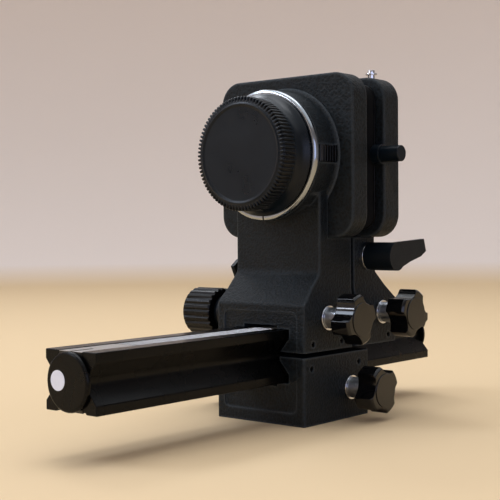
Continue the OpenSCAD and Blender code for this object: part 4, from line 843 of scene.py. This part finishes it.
def index_line():
    """Strip of paint that fills the engraved line to just under the steel."""
    face_y = ring_high.y - RING_T
    bm = bmesh.new()
    rows = []
    for x, sink in ((-1, PAINT_TOP), (1, PAINT_TOP), (1, PAINT_FOOT), (-1, PAINT_FOOT)):
        rows.append([
            bm.verts.new((x * INDEX_W / 2, face_y + depth, AXIS_Z - radius))
            for depth, radius in ring_path(sink * INDEX_DEPTH)
        ])
    for row, beside in zip(rows, rows[1:] + rows[:1]):
        for k in range(len(row) - 1):
            bm.faces.new((row[k], row[k + 1], beside[k + 1], beside[k]))
    bm.faces.new([row[0] for row in rows])
    bm.faces.new([row[-1] for row in rows])
    bmesh.ops.recalc_face_normals(bm, faces=bm.faces)
    piece = add_piece("mount_index_line", finished_mesh(bm, "mount_index_line"), LINE_PAINT)
    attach(piece, "camera_mount")


index_line()


# Wound springs behind the mount button and the plunger

STEPS_PER_TURN = 18
WIRE_SIDES = 8
# Spring, its joint, how far that joint presses it, its wire's thickness and its turns
SPRINGS = [
    ("button_spring", "mount_button_press", 1.5 * MM, 0.35 * MM, 4),
    ("plunger_spring", "plunger_press", 3.05 * MM, 0.3 * MM, 3),
]


def wound_spring(node, joint, travel, thickness, turns):
    """Coil in the room of a spring, along X. The joint and travel are not used."""
    low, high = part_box(node)
    middle = (low + high) / 2
    wire_r = thickness / 2
    coil_r = (high.y - low.y - thickness) / 2
    steps = turns * STEPS_PER_TURN
    bm = bmesh.new()
    rows = []
    for step in range(steps + 1):
        turn = math.tau * step / STEPS_PER_TURN
        at_x = low.x + wire_r + (high.x - low.x - thickness) * step / steps
        row = []
        for side in range(WIRE_SIDES):
            angle = math.tau * side / WIRE_SIDES
            reach = coil_r + wire_r * math.cos(angle)
            row.append(bm.verts.new((
                at_x + wire_r * math.sin(angle),
                middle.y + reach * math.cos(turn),
                middle.z + reach * math.sin(turn),
            )))
        rows.append(row)
    for row, beside in zip(rows, rows[1:]):
        for k in range(WIRE_SIDES):
            after = (k + 1) % WIRE_SIDES
            bm.faces.new((row[k], row[after], beside[after], beside[k]))
    bm.faces.new(rows[0])
    bm.faces.new(rows[-1])
    bmesh.ops.recalc_face_normals(bm, faces=bm.faces)
    piece = add_piece(node + "_wound", finished_mesh(bm, node + "_wound", 60), FINISHES[SLOT_OF[node]])
    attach(piece, BODY_OF[node])
    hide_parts(node)
    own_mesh(piece)


for spring in SPRINGS:
    wound_spring(*spring)


# Studio: a pale floor that sweeps up into a round wall, a soft sky and soft lamps

FLOOR_R = 1.5
SWEEP_R = 0.7
SWEEP_STEPS = 16
WALL_TOP = 1.9
ROUND_STEPS = 128
# Gap under the tripod block that keeps the floor from touching its face
FLOOR_DROP = 0.05 * MM
SKY_STRENGTH = 1.3
# Direction from which the sky is brightest
SKY_LEAN = (-0.55, 0.35, 0.75)
# Point that the lamps face
MIDDLE = (0, -0.02, 0.1)
# Lamp, its place and size in metres, its watts and its colour
LAMPS = [
    ("overhead_softbox", (-0.1, 0.1, 1.4), (0.9, 0.7), 6.0, "#f6f9ff"),
    ("left_softbox", (-0.98, 0.4, 1.25), (0.34, 0.26), 3.0, "#eef5ff"),
    ("front_softbox", (-0.85, -0.7, 1.05), (0.5, 0.4), 5.2, "#dceaff"),
    ("front_strip", (-0.82, -1.13, 0.58), (0.22, 0.12), 2.0, "#e6eeff"),
    ("side_window", (1.0, -0.62, 0.3), (1.3, 0.5), 3.0, "#c8d4ff"),
]


def studio_sweep():
    """Floor and wall as one smooth turned surface."""
    profile = [(FLOOR_R / 2, 0.0), (FLOOR_R, 0.0)]
    for step in range(1, SWEEP_STEPS + 1):
        angle = math.radians(90 * step / SWEEP_STEPS)
        profile.append((FLOOR_R + SWEEP_R * math.sin(angle), SWEEP_R * (1 - math.cos(angle))))
    profile.append((FLOOR_R + SWEEP_R, WALL_TOP))
    bm = bmesh.new()
    middle = bm.verts.new((0, 0, -FLOOR_DROP))
    rings = []
    for radius, height in profile:
        rings.append([
            bm.verts.new((radius * math.cos(a), radius * math.sin(a), height - FLOOR_DROP))
            for a in (math.tau * i / ROUND_STEPS for i in range(ROUND_STEPS))
        ])
    for i in range(ROUND_STEPS):
        n = (i + 1) % ROUND_STEPS
        bm.faces.new((middle, rings[0][i], rings[0][n]))
        for low, high in zip(rings, rings[1:]):
            bm.faces.new((low[i], high[i], high[n], low[n]))
    mesh = bpy.data.meshes.new("studio_sweep")
    bm.to_mesh(mesh)
    bm.free()
    mesh.shade_smooth()
    add_piece("studio_sweep", mesh, studio_paper())


def studio_paper():
    # Seamless paper, matt: warm and pale on the floor, paler on the wall and greyer to the right.
    material, tree, shader, place = new_material(
        "paper_seamless_matt", {"Roughness": 0.9, "Specular IOR Level": 0.1}
    )
    height = add_node(tree, "ShaderNodeSeparateXYZ", {"Vector": place})
    rise = add_node(
        tree, "ShaderNodeMapRange",
        {
            "Value": height.outputs["Z"], "From Min": 0.0, "From Max": 0.05 * SWEEP_R,
            "To Min": 0.0, "To Max": 1.0,
        },
    )
    paper = add_node(
        tree, "ShaderNodeMix",
        {0: rise.outputs["Result"], 6: linear("#d9bf99"), 7: linear("#e6dad2")}, data_type="RGBA",
    )
    right = add_node(
        tree, "ShaderNodeMapRange",
        {"Value": height.outputs["X"], "From Min": -0.2, "From Max": 0.8, "To Min": 0.0, "To Max": 1.0},
    )
    off_floor = add_node(
        tree, "ShaderNodeMath", {0: right.outputs["Result"], 1: rise.outputs["Result"]}, operation="MULTIPLY"
    )
    shaded = add_node(
        tree, "ShaderNodeMix",
        {0: off_floor.outputs["Value"], 6: paper.outputs[2], 7: linear("#a09a98")}, data_type="RGBA",
    )
    wire(tree, shader, Base_Color=shaded.outputs[2])
    return material


def soft_lamp(name, place, size, watts, colour):
    """Rectangular soft lamp that faces the middle of the part."""
    data = bpy.data.lights.new(name, "AREA")
    data.shape = "RECTANGLE"
    data.size, data.size_y = size
    data.energy = watts
    data.color = linear(colour)[:3]
    lamp = bpy.data.objects.new(name, data)
    lamp.location = place
    lamp.rotation_euler = (Vector(MIDDLE) - Vector(place)).to_track_quat("-Z", "Y").to_euler()
    scene.collection.objects.link(lamp)


def sky():
    """Soft pale light from all round, brighter from above and from the left, dimmer from the right."""
    world = bpy.data.worlds.new("studio_sky")
    scene.world = world
    world.use_nodes = True
    tree = world.node_tree
    background = tree.nodes["Background"]
    direction = add_node(tree, "ShaderNodeTexCoord").outputs["Generated"]
    lean = add_node(tree, "ShaderNodeVectorMath", {0: direction, 1: SKY_LEAN}, operation="DOT_PRODUCT")
    share = add_node(
        tree, "ShaderNodeMapRange",
        {"Value": lean.outputs["Value"], "From Min": -0.7, "From Max": 0.9, "To Min": 0.0, "To Max": 1.0},
    )
    colour = add_node(
        tree, "ShaderNodeMix",
        {0: share.outputs["Result"], 6: linear("#8a8a8c"), 7: linear("#f6faff")}, data_type="RGBA",
    )
    tree.links.new(colour.outputs[2], background.inputs["Color"])
    background.inputs["Strength"].default_value = SKY_STRENGTH


studio_sweep()
sky()
for lamp in LAMPS:
    soft_lamp(*lamp)


# Camera at the photographed viewing angle

CAMERA_AT = Vector((397.11, -514.46, 110.04)) * MM
CAMERA_YAW = math.radians(39.86)
CAMERA_PITCH = math.radians(-1.18)
CAMERA_ROLL = math.radians(-0.41)
# Focal length and sensor width in millimetres
CAMERA_LENS = 80.0
CAMERA_SENSOR = 36.0


def photo_camera():
    """Camera without depth of field, turned to the photographed angle."""
    data = bpy.data.cameras.new("photo_camera")
    data.lens = CAMERA_LENS
    data.sensor_width = CAMERA_SENSOR
    camera = bpy.data.objects.new("photo_camera", data)
    ahead = Vector((
        -math.sin(CAMERA_YAW) * math.cos(CAMERA_PITCH),
        math.cos(CAMERA_YAW) * math.cos(CAMERA_PITCH),
        math.sin(CAMERA_PITCH),
    ))
    level = Vector((math.cos(CAMERA_YAW), math.sin(CAMERA_YAW), 0))
    upright = level.cross(ahead)
    right = level * math.cos(CAMERA_ROLL) + upright * math.sin(CAMERA_ROLL)
    up = upright * math.cos(CAMERA_ROLL) - level * math.sin(CAMERA_ROLL)
    turn = Matrix((right, up, -ahead)).transposed().to_4x4()
    camera.matrix_world = Matrix.Translation(CAMERA_AT) @ turn
    scene.collection.objects.link(camera)
    scene.camera = camera


photo_camera()

bpy.context.view_layer.update()
